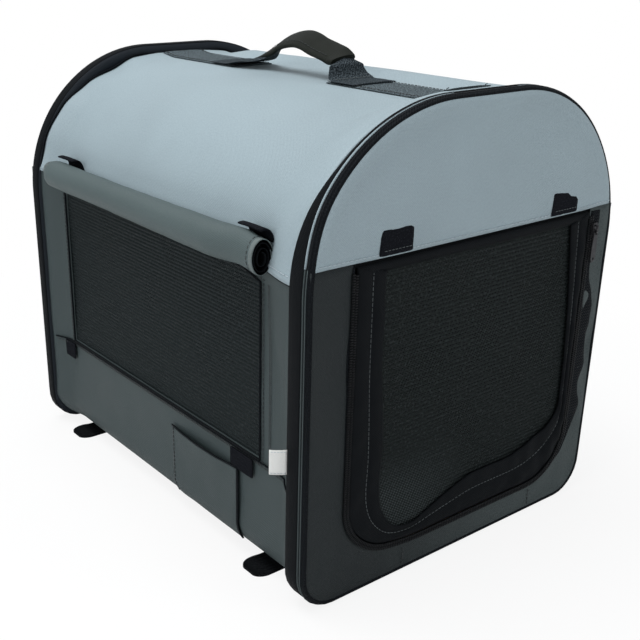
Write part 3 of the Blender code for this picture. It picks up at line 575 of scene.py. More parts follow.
def wave_of(place, scale, seed=0.0):
    """Slow, even noise between -1 and 1."""
    return noise.noise(Vector((place[0] * scale, place[1] * scale, seed)))


def ease(value):
    value = max(0.0, min(1.0, value))
    return value * value * (3 - 2 * value)


# %% [markdown]
# The shell is one arch that runs from the door to the back. The next helper walks along that arch: it turns a
# distance from the middle of the roof into a place and an outward direction, and back again.

# %% Walking along the arch


def arch_point(form, run, lift=0.0):
    """A point of the arch at a distance from the middle of its top, raised off it by a lift: (x, z, out x, out z)."""
    side = -1 if run < 0 else 1
    left = abs(run)
    flat_top = form["half"] - form["shoulder"]
    straight = form["top"] - form["shoulder"] - form["floor"] - form["foot"]
    if left <= flat_top:
        x, z, nx, nz = left, form["top"], 0.0, 1.0
    elif left <= flat_top + form["shoulder"] * math.pi / 2:
        angle = (left - flat_top) / form["shoulder"]
        nx, nz = math.sin(angle), math.cos(angle)
        x = flat_top + form["shoulder"] * nx
        z = form["top"] - form["shoulder"] + form["shoulder"] * nz
    elif left <= flat_top + form["shoulder"] * math.pi / 2 + straight:
        down = left - flat_top - form["shoulder"] * math.pi / 2
        x, z, nx, nz = form["half"], form["top"] - form["shoulder"] - down, 1.0, 0.0
    else:
        past = left - flat_top - form["shoulder"] * math.pi / 2 - straight
        angle = min(past / form["foot"], math.pi / 2)
        nx, nz = math.cos(angle), -math.sin(angle)
        x = form["half"] - form["foot"] + form["foot"] * nx - max(0.0, past - form["foot"] * math.pi / 2)
        z = form["floor"] + form["foot"] + form["foot"] * nz
    return side * (x + lift * nx), z + lift * nz, side * nx, nz


def run_at_height(form, z):
    """How far along the arch from the middle of the top its shoulder or side reaches a height."""
    flat_top = form["half"] - form["shoulder"]
    rise = z - form["top"] + form["shoulder"]
    if rise > 0:
        return flat_top + form["shoulder"] * (math.pi / 2 - math.asin(rise / form["shoulder"]))
    return flat_top + form["shoulder"] * math.pi / 2 - rise


def arch_end(form):
    """The run at which the foot's curve meets the floor."""
    return run_at_height(form, form["floor"] + form["foot"]) + form["foot"] * math.pi / 2


def whole_loop(form, spacing=0.008):
    """Stations all the way round a hoop, each with a point at Y = 0, its direction and its outward side."""
    end = arch_end(form)
    half_floor = form["half"] - form["foot"]
    count = int((end + half_floor) * 2 / spacing)
    stations = []
    for number in range(count):
        run = -(end + half_floor) + (end + half_floor) * 2 * number / count
        x, z, nx, nz = arch_point(form, run)
        stations.append((Vector((x, 0, z)), Vector((nz, 0, -nx)), Vector((nx, 0, nz)), run))
    return stations


SEAM_RUN = run_at_height(shell, SEAM)
END_RUN = arch_end(shell)
print("the seam lies", round(SEAM_RUN, 4), "m from the middle of the roof and the foot ends at", round(END_RUN, 4))

# %% [markdown]
# Near each hoop the cloth leaves the arch and rises to the sleeve that it is sewn to. At the door it flares, over a
# longer way on the shoulders than elsewhere. At the back it is pulled: it stays low in the middle of the roof and
# comes up flush on the shoulders. The roof also stands a little proud beyond the handle, the seam hangs lower near
# the door, and the door's hoop bulges at its left shoulder, as on a crate that has been carried about.

# %% How the cloth rises at the hoops
FLARE, FLARE_LEAST, FLARE_MORE, BAND_BACK = 0.0100, 0.018, 0.034, 0.0240
FLARE_END = PANEL_Y - BAND_BACK
REAR_RISE_REACH = 0.030
REAR_RISE = (
    (0.000, 0.0030), (0.040, 0.0030), (0.056, 0.0035), (0.084, -0.0010), (0.115, 0.0030), (0.140, 0.0082),
    (0.155, 0.0105), (0.163, 0.0090), (0.200, 0.0090),
)
CROWN, CROWN_FROM, CROWN_TOP, CROWN_TO = 0.0095, 0.026, 0.060, 0.150
SEAM_DIP, DIP_FROM, DIP_REACH, DIP_FADE = 0.010, 0.125, 0.040, 0.080
BULGE, BULGE_HEIGHT, BULGE_SPREAD = 0.0062, 0.345, 0.070
SLIM = 0.0014


def steps_between(table, place):
    """Reads a value between the rows of a small table."""
    for (a, first), (b, second) in zip(table, table[1:]):
        if place <= b:
            return first + (second - first) * ease((place - a) / (b - a))
    return table[-1][1]


def cloth_rise(run, y):
    """How far the cloth stands off the shell's arch near a hoop."""
    x, z, _, up = arch_point(shell, run)
    if y < 0:
        reach = FLARE_LEAST + FLARE_MORE * ease((abs(x) - 0.03) / 0.08) * ease((z - 0.16) / 0.12)
        rise = FLARE * ease((-y - FLARE_END + reach) / reach)
    else:
        rise = steps_between(REAR_RISE, abs(x)) * ease((y - SHELL_END + REAR_RISE_REACH) / REAR_RISE_REACH)
    crown = CROWN * ease((x - CROWN_FROM) / (CROWN_TOP - CROWN_FROM)) * ease((CROWN_TO - x) / (CROWN_TO - CROWN_TOP))
    inside = ease((SHELL_END - y) / 0.06)
    return (max(rise, crown * inside) if crown > 0 and up > 0 else rise) * min(1.0, 1.0 + up)


def dipped(run, y):
    """The seam hangs lower near the door, and takes the cloth on both sides of it along."""
    dip = SEAM_DIP * ease((-y - DIP_FROM) / DIP_REACH) * ease(1 - abs(abs(run) - SEAM_RUN) / DIP_FADE)
    return run + math.copysign(dip, run)


def settle(spot):
    """Moves a point of the front hoop, or of the cloth that is sewn to it, to where the used crate has it."""
    near = ease((-spot.y - 0.165) / 0.055)
    if spot.x < 0:
        away = (spot.z - BULGE_HEIGHT) / (BULGE_SPREAD if spot.z > BULGE_HEIGHT else BULGE_SPREAD * 0.6)
        shift = -BULGE * math.exp(-away * away) * ease((-spot.x - 0.02) / 0.09)
    else:
        shift = -SLIM * ease((spot.x - 0.1) / 0.06)
    return spot + Vector((shift * near, 0, 0))


def on_shell(run, y, lift):
    """A point of the used crate's shell and its outward direction, from its place on the flat cloth."""
    run = dipped(run, y)
    x, z, nx, nz = arch_point(shell, run, lift + cloth_rise(run, y))
    return settle(Vector((x, y, z))), Vector((nx, 0, nz))


print("flare", FLARE, "and rear rise on the side", cloth_rise(0.3, SHELL_END))

# %% [markdown]
# ## The light roof
# One panel of pale cloth is stretched over both hoops and folded under at its lower edges. It is nearly flat, but
# the light shows slow dents. It lies still under the handle's straps, so the dents fade there.

# %% Roof
HEM = 0.003
CLOTH = 0.0009
STRAP_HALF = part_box("handle_strap_front")[1].x
EDGE_ROWS = (-0.2105, -0.207, -0.2, -0.19, 0.19, 0.2, 0.207, 0.2105)


def roof_lift(run, y):
    dents = 0.0022 * (0.5 + 0.5 * wave_of((run, y), 8.0)) + 0.0007 * (0.5 + 0.5 * wave_of((run, y), 26.0, 3.0))
    still = ease((abs(run) - STRAP_HALF) / 0.03) * ease((SEAM_RUN - abs(run)) / 0.02)
    return 0.0003 - dents * still


def roof_place(run, y):
    return on_shell(run, y, roof_lift(run, y) + 0.0008 * ease((abs(run) - SEAM_RUN + 0.006) / 0.004))[0]


def edge_wear(run, y):
    return max(ease(1 - (SHELL_END - abs(y)) / 0.006), ease(1 - (SEAM_RUN + HEM - abs(run)) / 0.004))


mesh = cut_flat((-SEAM_RUN - HEM, -SHELL_END), (SEAM_RUN + HEM, SHELL_END), (110, 88), lines_y=EDGE_ROWS)
hang(mesh, roof_place, wear_and_painted_light=edge_wear)
face_away(mesh, LOW_INSIDE)
roof = sew(mesh, "roof_cloth", "base", light_cloth, "light_fabric", ["roof_panel"], thickness=CLOTH)

# %% [markdown]
# ## Dark side walls with a window
# Below the seam the cloth is dark. Each side is cut as one rectangle with a window in it, and it wraps under the
# crate at its lower edge. The window's edges are turned in and topstitched, and a thin welt runs along the whole
# side just under the window, where the upper and the lower halves of the side are joined.

# %% Side walls
window_low, window_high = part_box("left_window_mesh")
WINDOW = ((window_low.y, window_low.z), (window_high.y, window_high.z))
NET_MARGIN = 0.004


def wall_lift(run, y, side):
    dents = 0.0012 * (0.5 + 0.5 * wave_of((run, y), 13.0, 5.0 + side))
    dents += 0.0010 * (0.5 + 0.5 * wave_of((run, y), 34.0, 9.0 + side))
    z = arch_point(shell, run)[1]
    still = ease((z - 0.03) / 0.03) * ease((SEAM - z) / 0.02)
    return -0.0004 - dents * still


def build_wall(name, side):
    def place(run, y):
        return on_shell(side * run, y, wall_lift(run, y, side))[0]

    def wear_and_painted_light(run, y):
        return ease(1 - (SHELL_END - abs(y)) / 0.006) + 0.6 * ease((run - END_RUN + 0.05) / 0.03)

    top = SEAM_RUN + 0.0002
    window = (
        (run_at_height(shell, WINDOW[1][1]), WINDOW[0][0]),
        (run_at_height(shell, WINDOW[0][1]), WINDOW[1][0]),
    )
    mesh = cut_flat((top, -SHELL_END), (END_RUN, SHELL_END), (72, 88), lines_y=EDGE_ROWS, hole=window)
    hang(mesh, place, wear_and_painted_light=wear_and_painted_light)
    face_away(mesh, LOW_INSIDE)
    wall = sew(mesh, name + "_wall_cloth", "base", dark_cloth, "dark_fabric", [name + "_wall"], thickness=CLOTH)
    build_window_net(name, side)


def build_window_net(name, side):
    low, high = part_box(name + "_window_mesh")
    corner_low = (low.y - NET_MARGIN, low.z - NET_MARGIN)
    corner_high = (high.y + NET_MARGIN, high.z + NET_MARGIN)
    mesh = cut_flat(corner_low, corner_high, (60, 36))

    def net_place(y, z):
        sag = 0.0022 * math.sin(math.pi * (z - low.z) / (high.z - low.z)) * (0.7 + 0.3 * wave_of((y, z), 12.0, 2.0))
        x = arch_point(shell, run_at_height(shell, z), -0.0022 - max(0.0, sag))[0]
        return Vector((side * x, y, z))

    hang(mesh, net_place)
    face_away(mesh, LOW_INSIDE)
    net = sew(mesh, name + "_window_net", "base", window_net, "mesh_fabric", [name + "_window_mesh"])


for name, side in (("left", -1), ("right", 1)):
    build_wall(name, side)
print("window opening", WINDOW)

# %% [markdown]
# ## Welts, bindings and stitches
# A welt is a thin cord wrapped in tape and caught in a seam. It is a small round profile extruded along the seam's
# line. Each stitch is a short bar that lies on the cloth. One mesh per body collects them all.

# %% Welts and stitches
threads = {}
welts = {}


def stations_along(points, outs, closed=False):
    """Stations for a sweep along a line of points, with the outward side at each point."""
    made = []
    count = len(points)
    for index, point in enumerate(points):
        before = points[index - 1] if (index or closed) else point
        after = points[(index + 1) % count] if (index < count - 1 or closed) else point
        made.append((Vector(point), Vector(after) - Vector(before), Vector(outs[index])))
    return made


def tangents(points):
    """The direction of a line at each of its points."""
    last = len(points) - 1
    return [(points[min(n + 1, last)] - points[max(n - 1, 0)]).normalized() for n in range(last + 1)]


def round_profile(radius, sides=8, flat=1.0):
    spots = []
    for number in range(sides):
        angle = 2 * math.pi * number / sides
        spots.append((radius * math.cos(angle), radius * flat * math.sin(angle)))
    return spots


def add_welt(body, points, outs, radius=0.0012, closed=False):
    mesh = welts.setdefault(body, new_cloth_mesh())
    sweep(mesh, stations_along(points, outs, closed), lambda share: round_profile(radius), loop=closed, ring=True)


def add_bars(mesh, points, outs, length, pitch, wide, thick, start):
    """Short bars one pitch apart along a line: stitches, or the teeth of a zip."""
    due, travelled = start, 0.0
    for index in range(len(points) - 1):
        first, second = points[index], points[index + 1]
        span = (second - first).length
        while span > 0 and due <= travelled + span:
            share = (due - travelled) / span
            out = outs[index].lerp(outs[index + 1], share).normalized()
            ahead = (second - first).normalized()
            side = ahead.cross(out).normalized()
            turned = Matrix((ahead, side, out)).transposed().to_4x4()
            sized = Matrix.Diagonal((length, wide, thick, 1))
            place = Matrix.Translation(first.lerp(second, share) + out * thick * 0.2)
            bmesh.ops.create_cube(mesh, size=1.0, matrix=place @ turned @ sized)
            due += pitch
        travelled += span


def add_stitches(body, points, outs, tone="dark", length=0.0028, gap=0.0014, width=0.00055, closed=False):
    """Puts stitches along a line of points that lies on the cloth."""
    mesh = threads.setdefault((body, tone), new_cloth_mesh())
    points = [Vector(point) for point in points] + ([Vector(points[0])] if closed else [])
    outs = [Vector(out) for out in outs] + ([Vector(outs[0])] if closed else [])
    add_bars(mesh, points, outs, length, length + gap, width, width, gap + length / 2)


def line_on_shell(run, lift, first=-0.2040, last=0.206, steps=60):
    """A line along the crate, at one distance from the middle of the roof."""
    spots = [on_shell(run, first + (last - first) * number / steps, lift) for number in range(steps + 1)]
    return [spot for spot, _ in spots], [out for _, out in spots]


def window_line(side, grow, lift, steps=14):
    """The line round a side window, moved out from its edge."""
    (y0, z0), (y1, z1) = WINDOW
    y0, z0, y1, z1 = y0 - grow, z0 - grow, y1 + grow, z1 + grow
    corners = [(y0, z0), (y1, z0), (y1, z1), (y0, z1)]
    spots = []
    for number, (y, z) in enumerate(corners):
        following = corners[(number + 1) % 4]
        for part in range(steps):
            spots.append((y + (following[0] - y) * part / steps, z + (following[1] - z) * part / steps))
    made = [on_shell(side * run_at_height(shell, z), y, lift) for y, z in spots]
    return [spot for spot, _ in made], [out for _, out in made]


for side in (-1, 1):
    points, outs = line_on_shell(side * (SEAM_RUN + 0.0035), -0.0002)
    add_welt("base", points, outs, radius=0.0010)
    points, outs = line_on_shell(side * (SEAM_RUN - 0.0025), 0.0010)
    add_stitches("base", points, outs, "pale")
    lower_run = run_at_height(shell, WINDOW[0][1] - 0.003)
    points, outs = line_on_shell(side * lower_run, -0.0002)
    add_welt("base", points, outs, radius=0.0008)
    points, outs = line_on_shell(side * (lower_run + 0.0034), -0.0004)
    add_stitches("base", points, outs)
    points, outs = window_line(side, 0.0010, -0.0002)
    add_welt("base", points, outs, radius=0.0010, closed=True)
    points, outs = window_line(side, 0.0050, -0.0004)
    add_stitches("base", points, outs, closed=True)
    for offset in (0.013, 0.015):
        y = WINDOW[0][0] - offset
        points = [on_shell(side * run_at_height(shell, z), y, -0.0004)[0] for z in (0.11, 0.16, 0.21, 0.275)]
        add_stitches("base", points, [Vector((side, 0, 0))] * len(points), length=0.0050, gap=0.0004, width=0.0003)

# %% [markdown]
# ## The hoops' sleeves
# Each steel hoop runs in a sleeve of black tape. At the door the sleeve is a broad band that lies over the shell's
# flared edge. A thin cord is caught between it and the black binding, which turns the corner on to the face: pale
# above the seam, and grey below it, where a second one follows the edge.
# Over the top the band grows narrow, until only the binding is left. At the back the sleeve is a plain band, and
# the side of it that faces the roof is dark slate. All of them are profiles extruded round the hoop.

# %% Hoop sleeves, binding and the pale cord
BAND_SLIM_FROM, BAND_SLIM_TO = 0.285, 0.400
BAND_LEAST = 0.0095
SLEEVE_FACE = 0.0076


def band_depth(station):
    """How far back from the face the front band reaches, at a station of the hoop."""
    slim = ease((station[0].z - BAND_SLIM_FROM) / (BAND_SLIM_TO - BAND_SLIM_FROM))
    return BAND_BACK + (BAND_LEAST - BAND_BACK) * slim


def hoop_piece(name, front, line, profile, finish, slot="black_fabric", replaces=(), thickness=0.0, ring=False,
               loop=True, sharp=None):
    """Extrudes a profile round a hoop. profile(station) gives points as (behind the face, out from the hoop)."""
    side = (line[0][1].cross(line[0][2])).normalized()
    rows = [[(front * (PANEL_Y - back) * side.y, out) for back, out in profile(station)] for station in line]
    mesh = new_cloth_mesh()
    stations = [station[:3] for station in line]
    sweep(mesh, stations, lambda share: rows[round(share * (len(rows) - 1))], loop=loop, ring=ring)
    if front < 0:
        for vertex in mesh.verts:
            vertex.co = settle(vertex.co)
    if ring:
        bmesh.ops.recalc_face_normals(mesh, faces=mesh.faces)
    else:
        face_out_of_tube(mesh, front)
    body = "front_frame" if front < 0 else "rear_frame"
    return sew(mesh, name, body, finish, slot, replaces, thickness=thickness, sharp=sharp)


def face_out_of_tube(mesh, front):
    """Turns the sleeve's faces away from the tube inside it."""
    mesh.normal_update()
    total = 0.0
    middle_y = front * (PANEL_Y + HOOP_BACK) / 2
    for face in mesh.faces:
        spot = face.calc_center_median()
        inner = Vector((spot.x * 0.955, middle_y, 0.2 + (spot.z - 0.2) * 0.96))
        total += face.normal.dot(spot - inner)
    if total < 0:
        bmesh.ops.reverse_faces(mesh, faces=mesh.faces)


def front_band(station):
    back = band_depth(station)
    spots = [(back, -0.0020), (back - 0.0012, -0.0006), (back * 0.72, 0.0002), (SLEEVE_FACE + 0.0012, 0.0002)]
    return spots + [(SLEEVE_FACE, -0.0004), (SLEEVE_FACE - 0.0004, -0.0030)]


def binding_strip(station):
    spots = [(0.0058, -0.0030), (0.0056, -0.0006), (0.0046, 0.0002), (0.0022, 0.0002), (0.0004, -0.0006)]
    return spots + [(-0.0008, -0.0018), (-0.0010, -0.0032), (-0.0004, -0.0042), (0.0006, -0.0046)]


def rear_band(station):
    spots = [(0.0150, -0.0014), (0.0140, -0.0002), (0.0100, 0.0), (0.0034, 0.0), (0.0010, -0.0010)]
    return spots + [(-0.0004, -0.0026), (-0.0002, -0.0042)]


def rear_cheek(station):
    return [(0.0152, -0.0130), (0.0156, -0.0070), (0.0151, -0.0012)]


hoop_line = whole_loop(hoop)
TAPE = 0.0006
for name, front, profile, finish, replaced, thickness, sharp in (
    ("front_sleeve_tape", -1, front_band, black_cloth, ["front_hoop_sleeve"], TAPE, 60),
    ("front_binding_tape", -1, binding_strip, binding, ["front_piping"], TAPE, None),
    ("rear_sleeve_tape", 1, rear_band, black_cloth, ["rear_hoop_sleeve", "rear_piping"], TAPE, None),
    ("rear_sleeve_cheek", 1, rear_cheek, slate_cloth, (), 0.0005, None),
):
    hoop_piece(name, front, hoop_line, profile, finish, replaces=replaced, thickness=thickness, sharp=sharp)

CORD_PLACE = (SLEEVE_FACE + 0.0058) / 2


def cord_profile(radius, place=CORD_PLACE, sunk=0.0008):
    return lambda station: [(place + a, b - sunk) for a, b in round_profile(radius)]


low_part = [station for station in hoop_line if station[0].z < 0.300]
left_side = [station for station in hoop_line if station[0].x < -0.03 and station[0].z >= 0.292]
right_side = [station for station in hoop_line if station[0].x > 0.03 and station[0].z >= 0.292]
split = next(n for n, (first, second) in enumerate(zip(low_part, low_part[1:])) if (second[0] - first[0]).length > 0.02)
low_part = low_part[split + 1:] + low_part[:split + 1]
for name, line, profile, finish, slot in (
    ("low", low_part, cord_profile(0.0008), dark_cloth, "dark_fabric"),
    ("edge", low_part, cord_profile(0.0006, 0.0030, 0.0), dark_cloth, "dark_fabric"),
    ("left", left_side, cord_profile(0.0011), light_cloth, "light_fabric"),
    ("right", right_side, cord_profile(0.0011), light_cloth, "light_fabric"),
):
    hoop_piece("hoop_cord_" + name, -1, line, profile, finish, slot, ring=True, loop=False)

roof_edge = [on_shell(SEAM_RUN * (n / 60 - 1), SHELL_END - 0.0006, 0.0004) for n in range(121)]
add_welt("rear_frame", [spot for spot, _ in roof_edge], [out for _, out in roof_edge], radius=0.0012)
print("band", BAND_BACK, "narrowing to", BAND_LEAST)

# %% [markdown]
# ## End panels
# The front and the back are flat panels inside the hoops: pale above the seam and dark below it. The pale arch is
# stretched in the hoop and bulges a little, most of all right behind the binding, where its edge catches the light.
# It is a grid whose rows follow the shoulder's curve, so its edge is smooth.

# %% Pale arches
PANEL_INSET = 0.0026
EDGE_ROLL, EDGE_WIDTH = 0.0016, 0.012
inner = arch(
    hoop["half"] - PANEL_INSET,
    hoop["floor"] + PANEL_INSET,
    hoop["top"] - PANEL_INSET,
    hoop["foot"] - PANEL_INSET,
    hoop["shoulder"] - PANEL_INSET,
)


def seam_height(x):
    """The front seam's height: nearly level, a little higher at both ends."""
    return SEAM + 0.0022 + 0.0008 * ease((-x - 0.085) / 0.075) + 0.0010 * ease((x - 0.13) / 0.03)


def arch_puff(x, z, front):
    """How far the stretched arch bulges."""
    edge = arch_edge_distance(x, z)
    above = ease((z - seam_height(x)) / 0.02)
    puff = EDGE_ROLL * math.sin(math.pi * min(1.0, edge / EDGE_WIDTH)) * above
    fade = ease(edge / 0.04) * above
    puff += 0.0018 * fade * (0.6 + 0.8 * wave_of((x, z), 9.0, 4.0 + front))
    pulled = ease((-x - 0.07) / 0.06) * ease((SEAM + 0.045 - z) / 0.035)
    return puff + 0.0010 * fade * pulled * wave_of((x * 2.2, z), 60.0, 7.0)


def arch_edge_distance(x, z):
    """How far a point of the arch is from the arch's curved edge."""
    across = max(0.0, abs(x) - inner["half"] + inner["shoulder"])
    rise = z - inner["top"] + inner["shoulder"]
    return inner["shoulder"] - math.hypot(across, max(0.0, rise))


def build_arch_cloth(end, front):
    start = math.asin((SEAM - 0.0006 - inner["top"] + inner["shoulder"]) / inner["shoulder"])
    mesh = cut_flat((-1, 0), (1, 1), (80, 44), lines_x=(-0.985, -0.965, 0.965, 0.985), lines_y=(0.97,))

    def place(u, v):
        angle = start + (math.pi / 2 - start) * v
        half = inner["half"] - inner["shoulder"] + inner["shoulder"] * math.cos(angle)
        z = inner["top"] - inner["shoulder"] + inner["shoulder"] * math.sin(angle)
        x = u * half
        if front < 0:
            z += (seam_height(x) - SEAM + 0.0006) * ease(1 - v * 4)
        return settle(Vector((x, front * (PANEL_Y + 0.0006 + arch_puff(x, z, front)), z)))

    hang(mesh, place, flat=upright, wear_and_painted_light=lambda u, v: 0.5 * ease(1 - v * 30))
    face_away(mesh, INSIDE)
    body = "front_frame" if front < 0 else "rear_frame"
    cloth = sew(mesh, end + "_arch_cloth", body, light_cloth, "light_fabric", [end + "_arch_panel"], thickness=CLOTH)
    count = 60
    width = inner["half"] - 0.006
    xs = [-width + 2 * width * n / count for n in range(count + 1)]
    points = [Vector((x, front * (PANEL_Y + 0.0010), (seam_height(x) if front < 0 else SEAM) + 0.0030)) for x in xs]
    add_stitches(body, [settle(point) for point in points], [Vector((0, front, 0))] * (count + 1), "pale", width=0.0004)
    mesh = cut_flat((-1, 0), (1, 1), (60, 2))
    inside = front * (PANEL_Y - 0.0022)

    def tape_spot(u, v):
        return settle(Vector((u * (inner["half"] - 0.004), inside, SEAM - 0.012 + 0.018 * v)))

    hang(mesh, tape_spot, flat=upright)
    face_away(mesh, INSIDE)
    sew(mesh, end + "_seam_tape", body, black_cloth, "black_fabric", thickness=0.0004)


build_arch_cloth("front", -1)
build_arch_cloth("rear", 1)

# %% [markdown]
# Below the arch the front is a dark frame round the door. Its inner edge is the zip's line and its outer edge the
# hoop. Both lines are sampled alike and the cloth is stretched from one to the other.

# %% Lines round the door
door_low, door_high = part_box("door_border")
DOOR_MIDDLE = (door_low.x + door_high.x) / 2
DOOR_HALF = (door_high.x - door_low.x) / 2
DOOR_FOOT = door_low.z
DOOR_TOP = door_high.z
DOOR_CORNER = 0.050
LINE_COUNT = 160


def corner_spot(x, z, radius, degrees):
    angle = math.radians(degrees)
    return (x + radius * math.cos(angle), z + radius * math.sin(angle))


def u_line(middle, half, foot, corner, top, straight=14, turn=12, floor=16):
    """A line down the left side, round both lower corners and up the right side."""
    left, right = middle - half, middle + half
    spots = [(left, top + (foot + corner - top) * n / straight) for n in range(straight)]
    spots += [corner_spot(left + corner, foot + corner, corner, 180 + 90 * n / turn) for n in range(turn)]
    spots += [(left + corner + 2 * (half - corner) * n / floor, foot) for n in range(floor)]
    spots += [corner_spot(right - corner, foot + corner, corner, 270 + 90 * n / turn) for n in range(turn)]
    spots += [(right, foot + corner + (top - foot - corner) * n / straight) for n in range(straight + 1)]
    return spots


def door_line(grow, top):
    """The door's edge, moved outwards."""
    spots = u_line(DOOR_MIDDLE, DOOR_HALF + grow, DOOR_FOOT - grow, DOOR_CORNER + grow, top)
    return [(x, z + 0.0065 * ease((-x - 0.045) / 0.075) * ease((0.120 - z) / 0.075)) for x, z in spots]


def smooth_line(spots, parts):
    """More points on a smooth curve through a few points."""
    made = []
    padded = [spots[0]] + list(spots) + [spots[-1]]
    for index in range(1, len(padded) - 2):
        p0, p1, p2, p3 = (Vector(spot) for spot in padded[index - 1:index + 3])
        for n in range(parts):
            t = n / parts
            bend = (2 * p0 - 5 * p1 + 4 * p2 - p3) * t ** 2 + (3 * p1 - p0 - 3 * p2 + p3) * t ** 3
            made.append(0.5 * (2 * p1 + (p2 - p0) * t + bend))
    made.append(Vector(spots[-1]))
    return made


def even_line(spots, parts=1, count=LINE_COUNT):
    """The same line as evenly spaced points."""
    fine = smooth_line([(x, 0, z) for x, z in spots], parts)
    lengths = [0.0]
    for first, second in zip(fine, fine[1:]):
        lengths.append(lengths[-1] + (second - first).length)
    made = []
    index = 0
    for number in range(count + 1):
        due = lengths[-1] * number / count
        while index < len(fine) - 2 and lengths[index + 1] < due:
            index += 1
        spot = fine[index].lerp(fine[index + 1], (due - lengths[index]) / (lengths[index + 1] - lengths[index]))
        made.append((spot.x, spot.z))
    return made


def between(first, second, along, across):
    """A place between two lines that were sampled alike."""
    spot = along * (len(first) - 1)
    index = min(int(spot), len(first) - 2)
    part = spot - index
    a = [first[index][k] + (first[index + 1][k] - first[index][k]) * part for k in (0, 1)]
    b = [second[index][k] + (second[index + 1][k] - second[index][k]) * part for k in (0, 1)]
    return [a[k] + (b[k] - a[k]) * across for k in (0, 1)]


print("door", round(DOOR_HALF * 2, 4), "wide, its middle at", round(DOOR_MIDDLE, 4))

# %% Dark surround of the door
surround_top = SEAM + 0.0030
outer_line = u_line(0.0, inner["half"], inner["floor"], inner["foot"], surround_top)
rear_outer = u_line(0.0, inner["half"], inner["floor"], inner["foot"], SEAM - 0.0002)
zip_line = door_line(0.0002, surround_top)
mesh = cut_flat((0, 0), (1, 1), (136, 14))


def surround_place(along, across):
    x, z = between(zip_line, outer_line, along, across)
    fade = ease(across * 4) * ease((1 - across) * 4)
    slack = 1.0 + 1.4 * ease((x - 0.12) / 0.04)
    puff = slack * fade * (0.0014 * wave_of((x, z), 16.0, 1.0) + 0.0011 * wave_of((x, z * 0.6), 55.0, 2.0))
    return settle(Vector((x, -PANEL_Y - 0.0002 - puff, z)))


hang(mesh, surround_place, flat=upright)
# Painted light and shade on the surround: the mask below makes it darkest at the left and lighter towards the right, as
# the light falls from the right front.
rub_and_painted_light = mesh.verts.layers.float["wear_and_painted_light"]
for vertex in mesh.verts:
    beside_door = abs(vertex.co.x) > DOOR_HALF - 0.004
    highest = seam_height(vertex.co.x) + 0.0004 if beside_door else surround_top
    vertex.co.z = min(vertex.co.z, highest)
    vertex[rub_and_painted_light] = 0.15 + 0.85 * ease((vertex.co.x + 0.13) / 0.25)
face_away(mesh, INSIDE)
surround = sew(mesh, "surround_cloth", "front_frame", surround_painted_shade_cloth, "dark_fabric", ["front_surround"], thickness=CLOTH)
for x in (-0.066, 0.101):
    points = [Vector((x, -PANEL_Y - 0.0006, 0.006 + 0.019 * n / 6)) for n in range(7)]
    add_stitches("front_frame", points, [Vector((0, -1, 0))] * 7)
print("surround", round(sum(face.area for face in surround.data.polygons) * 1e4), "square centimetres")

# %% [markdown]
# ## Door
# The door hangs from the seam and is held by a zip on three sides. A broad black border goes all round it and
# carries the net. The border is folded tape, sewn down along a groove, so it stands up as two soft rolls. It is
# bulky and a little uneven: its inner edge was measured at many places, and a smooth line goes through them.

# %% Door border and net
HEAD = 0.008
GROOVE = 0.56
NET_EDGE = (
    (-0.103, 0.2817), (-0.103, 0.257), (-0.102, 0.200), (-0.0985, 0.160), (-0.097, 0.132), (-0.0985, 0.099),
    (-0.095, 0.073),
    (-0.080, 0.052), (-0.056, 0.047), (-0.030, 0.056), (0.000, 0.066), (0.019, 0.070), (0.063, 0.070), (0.087, 0.075),
    (0.110, 0.083), (0.126, 0.093), (0.131, 0.108), (0.131, 0.140), (0.129, 0.180), (0.126, 0.215), (0.120, 0.260),
    (0.117, 0.2817),
)
border_outer = even_line(door_line(-0.0028, DOOR_TOP))
border_inner = even_line(NET_EDGE, 6)
mesh = cut_flat((0, 0), (1, 1), (200, 18))


def soft_roll(share):
    return math.sin(math.pi * max(0.0, min(1.0, share))) ** 0.6


def border_place(along, across):
    x, z = between(border_outer, border_inner, along, across)
    first_roll = across < GROOVE
    roundness = soft_roll(across / GROOVE) if first_roll else 0.8 * soft_roll((across - GROOVE) / (1 - GROOVE) * 0.93)
    lumpy = 1.0 + 1.6 * ease((x - 0.02) / 0.08) * ease((0.13 - z) / 0.05)
    pucker = wave_of((along * 3.1, across * 0.06), 14.0, 6.0) * 0.0012 + wave_of((x, z), 60.0, 8.0) * 0.0006
    out = (0.0024 + pucker * lumpy) * roundness
    return Vector((x, -PANEL_Y - 0.0002 - out, z))


hang(mesh, border_place, flat=upright, wear_and_painted_light=lambda a, c: 0.4 * ease(1 - c * 10))
face_away(mesh, INSIDE)
border = sew(mesh, "door_border_tape", "door", black_cloth, "black_fabric", ["door_border"], thickness=0.0010)
points = [border_place(n / 160, GROOVE) + Vector((0, -0.0003, 0)) for n in range(161)]
add_stitches("door", points, [Vector((0, -1, 0))] * 161, "grey", width=0.0005)

mesh = cut_flat((-1, -0.5), (1, 0.5), (60, 3))


def head_place(u, v):
    y = -PANEL_Y - 0.0006 - 0.0012 * math.cos(v * math.pi)
    return Vector((DOOR_MIDDLE + u * (DOOR_HALF - 0.003), y, DOOR_TOP - HEAD / 2 + v * HEAD))


hang(mesh, head_place, flat=upright)
face_away(mesh, INSIDE)
sew(mesh, "door_head_tape", "door", black_cloth, "black_fabric", thickness=0.0010)

NET_MIDDLE, NET_HALF, NET_LOW, NET_CORNER = 0.012, 0.124, 0.0415, 0.030
net_top = DOOR_TOP - HEAD + 0.003
mesh = cut_flat((-1, NET_LOW), (1, net_top), (56, 56))


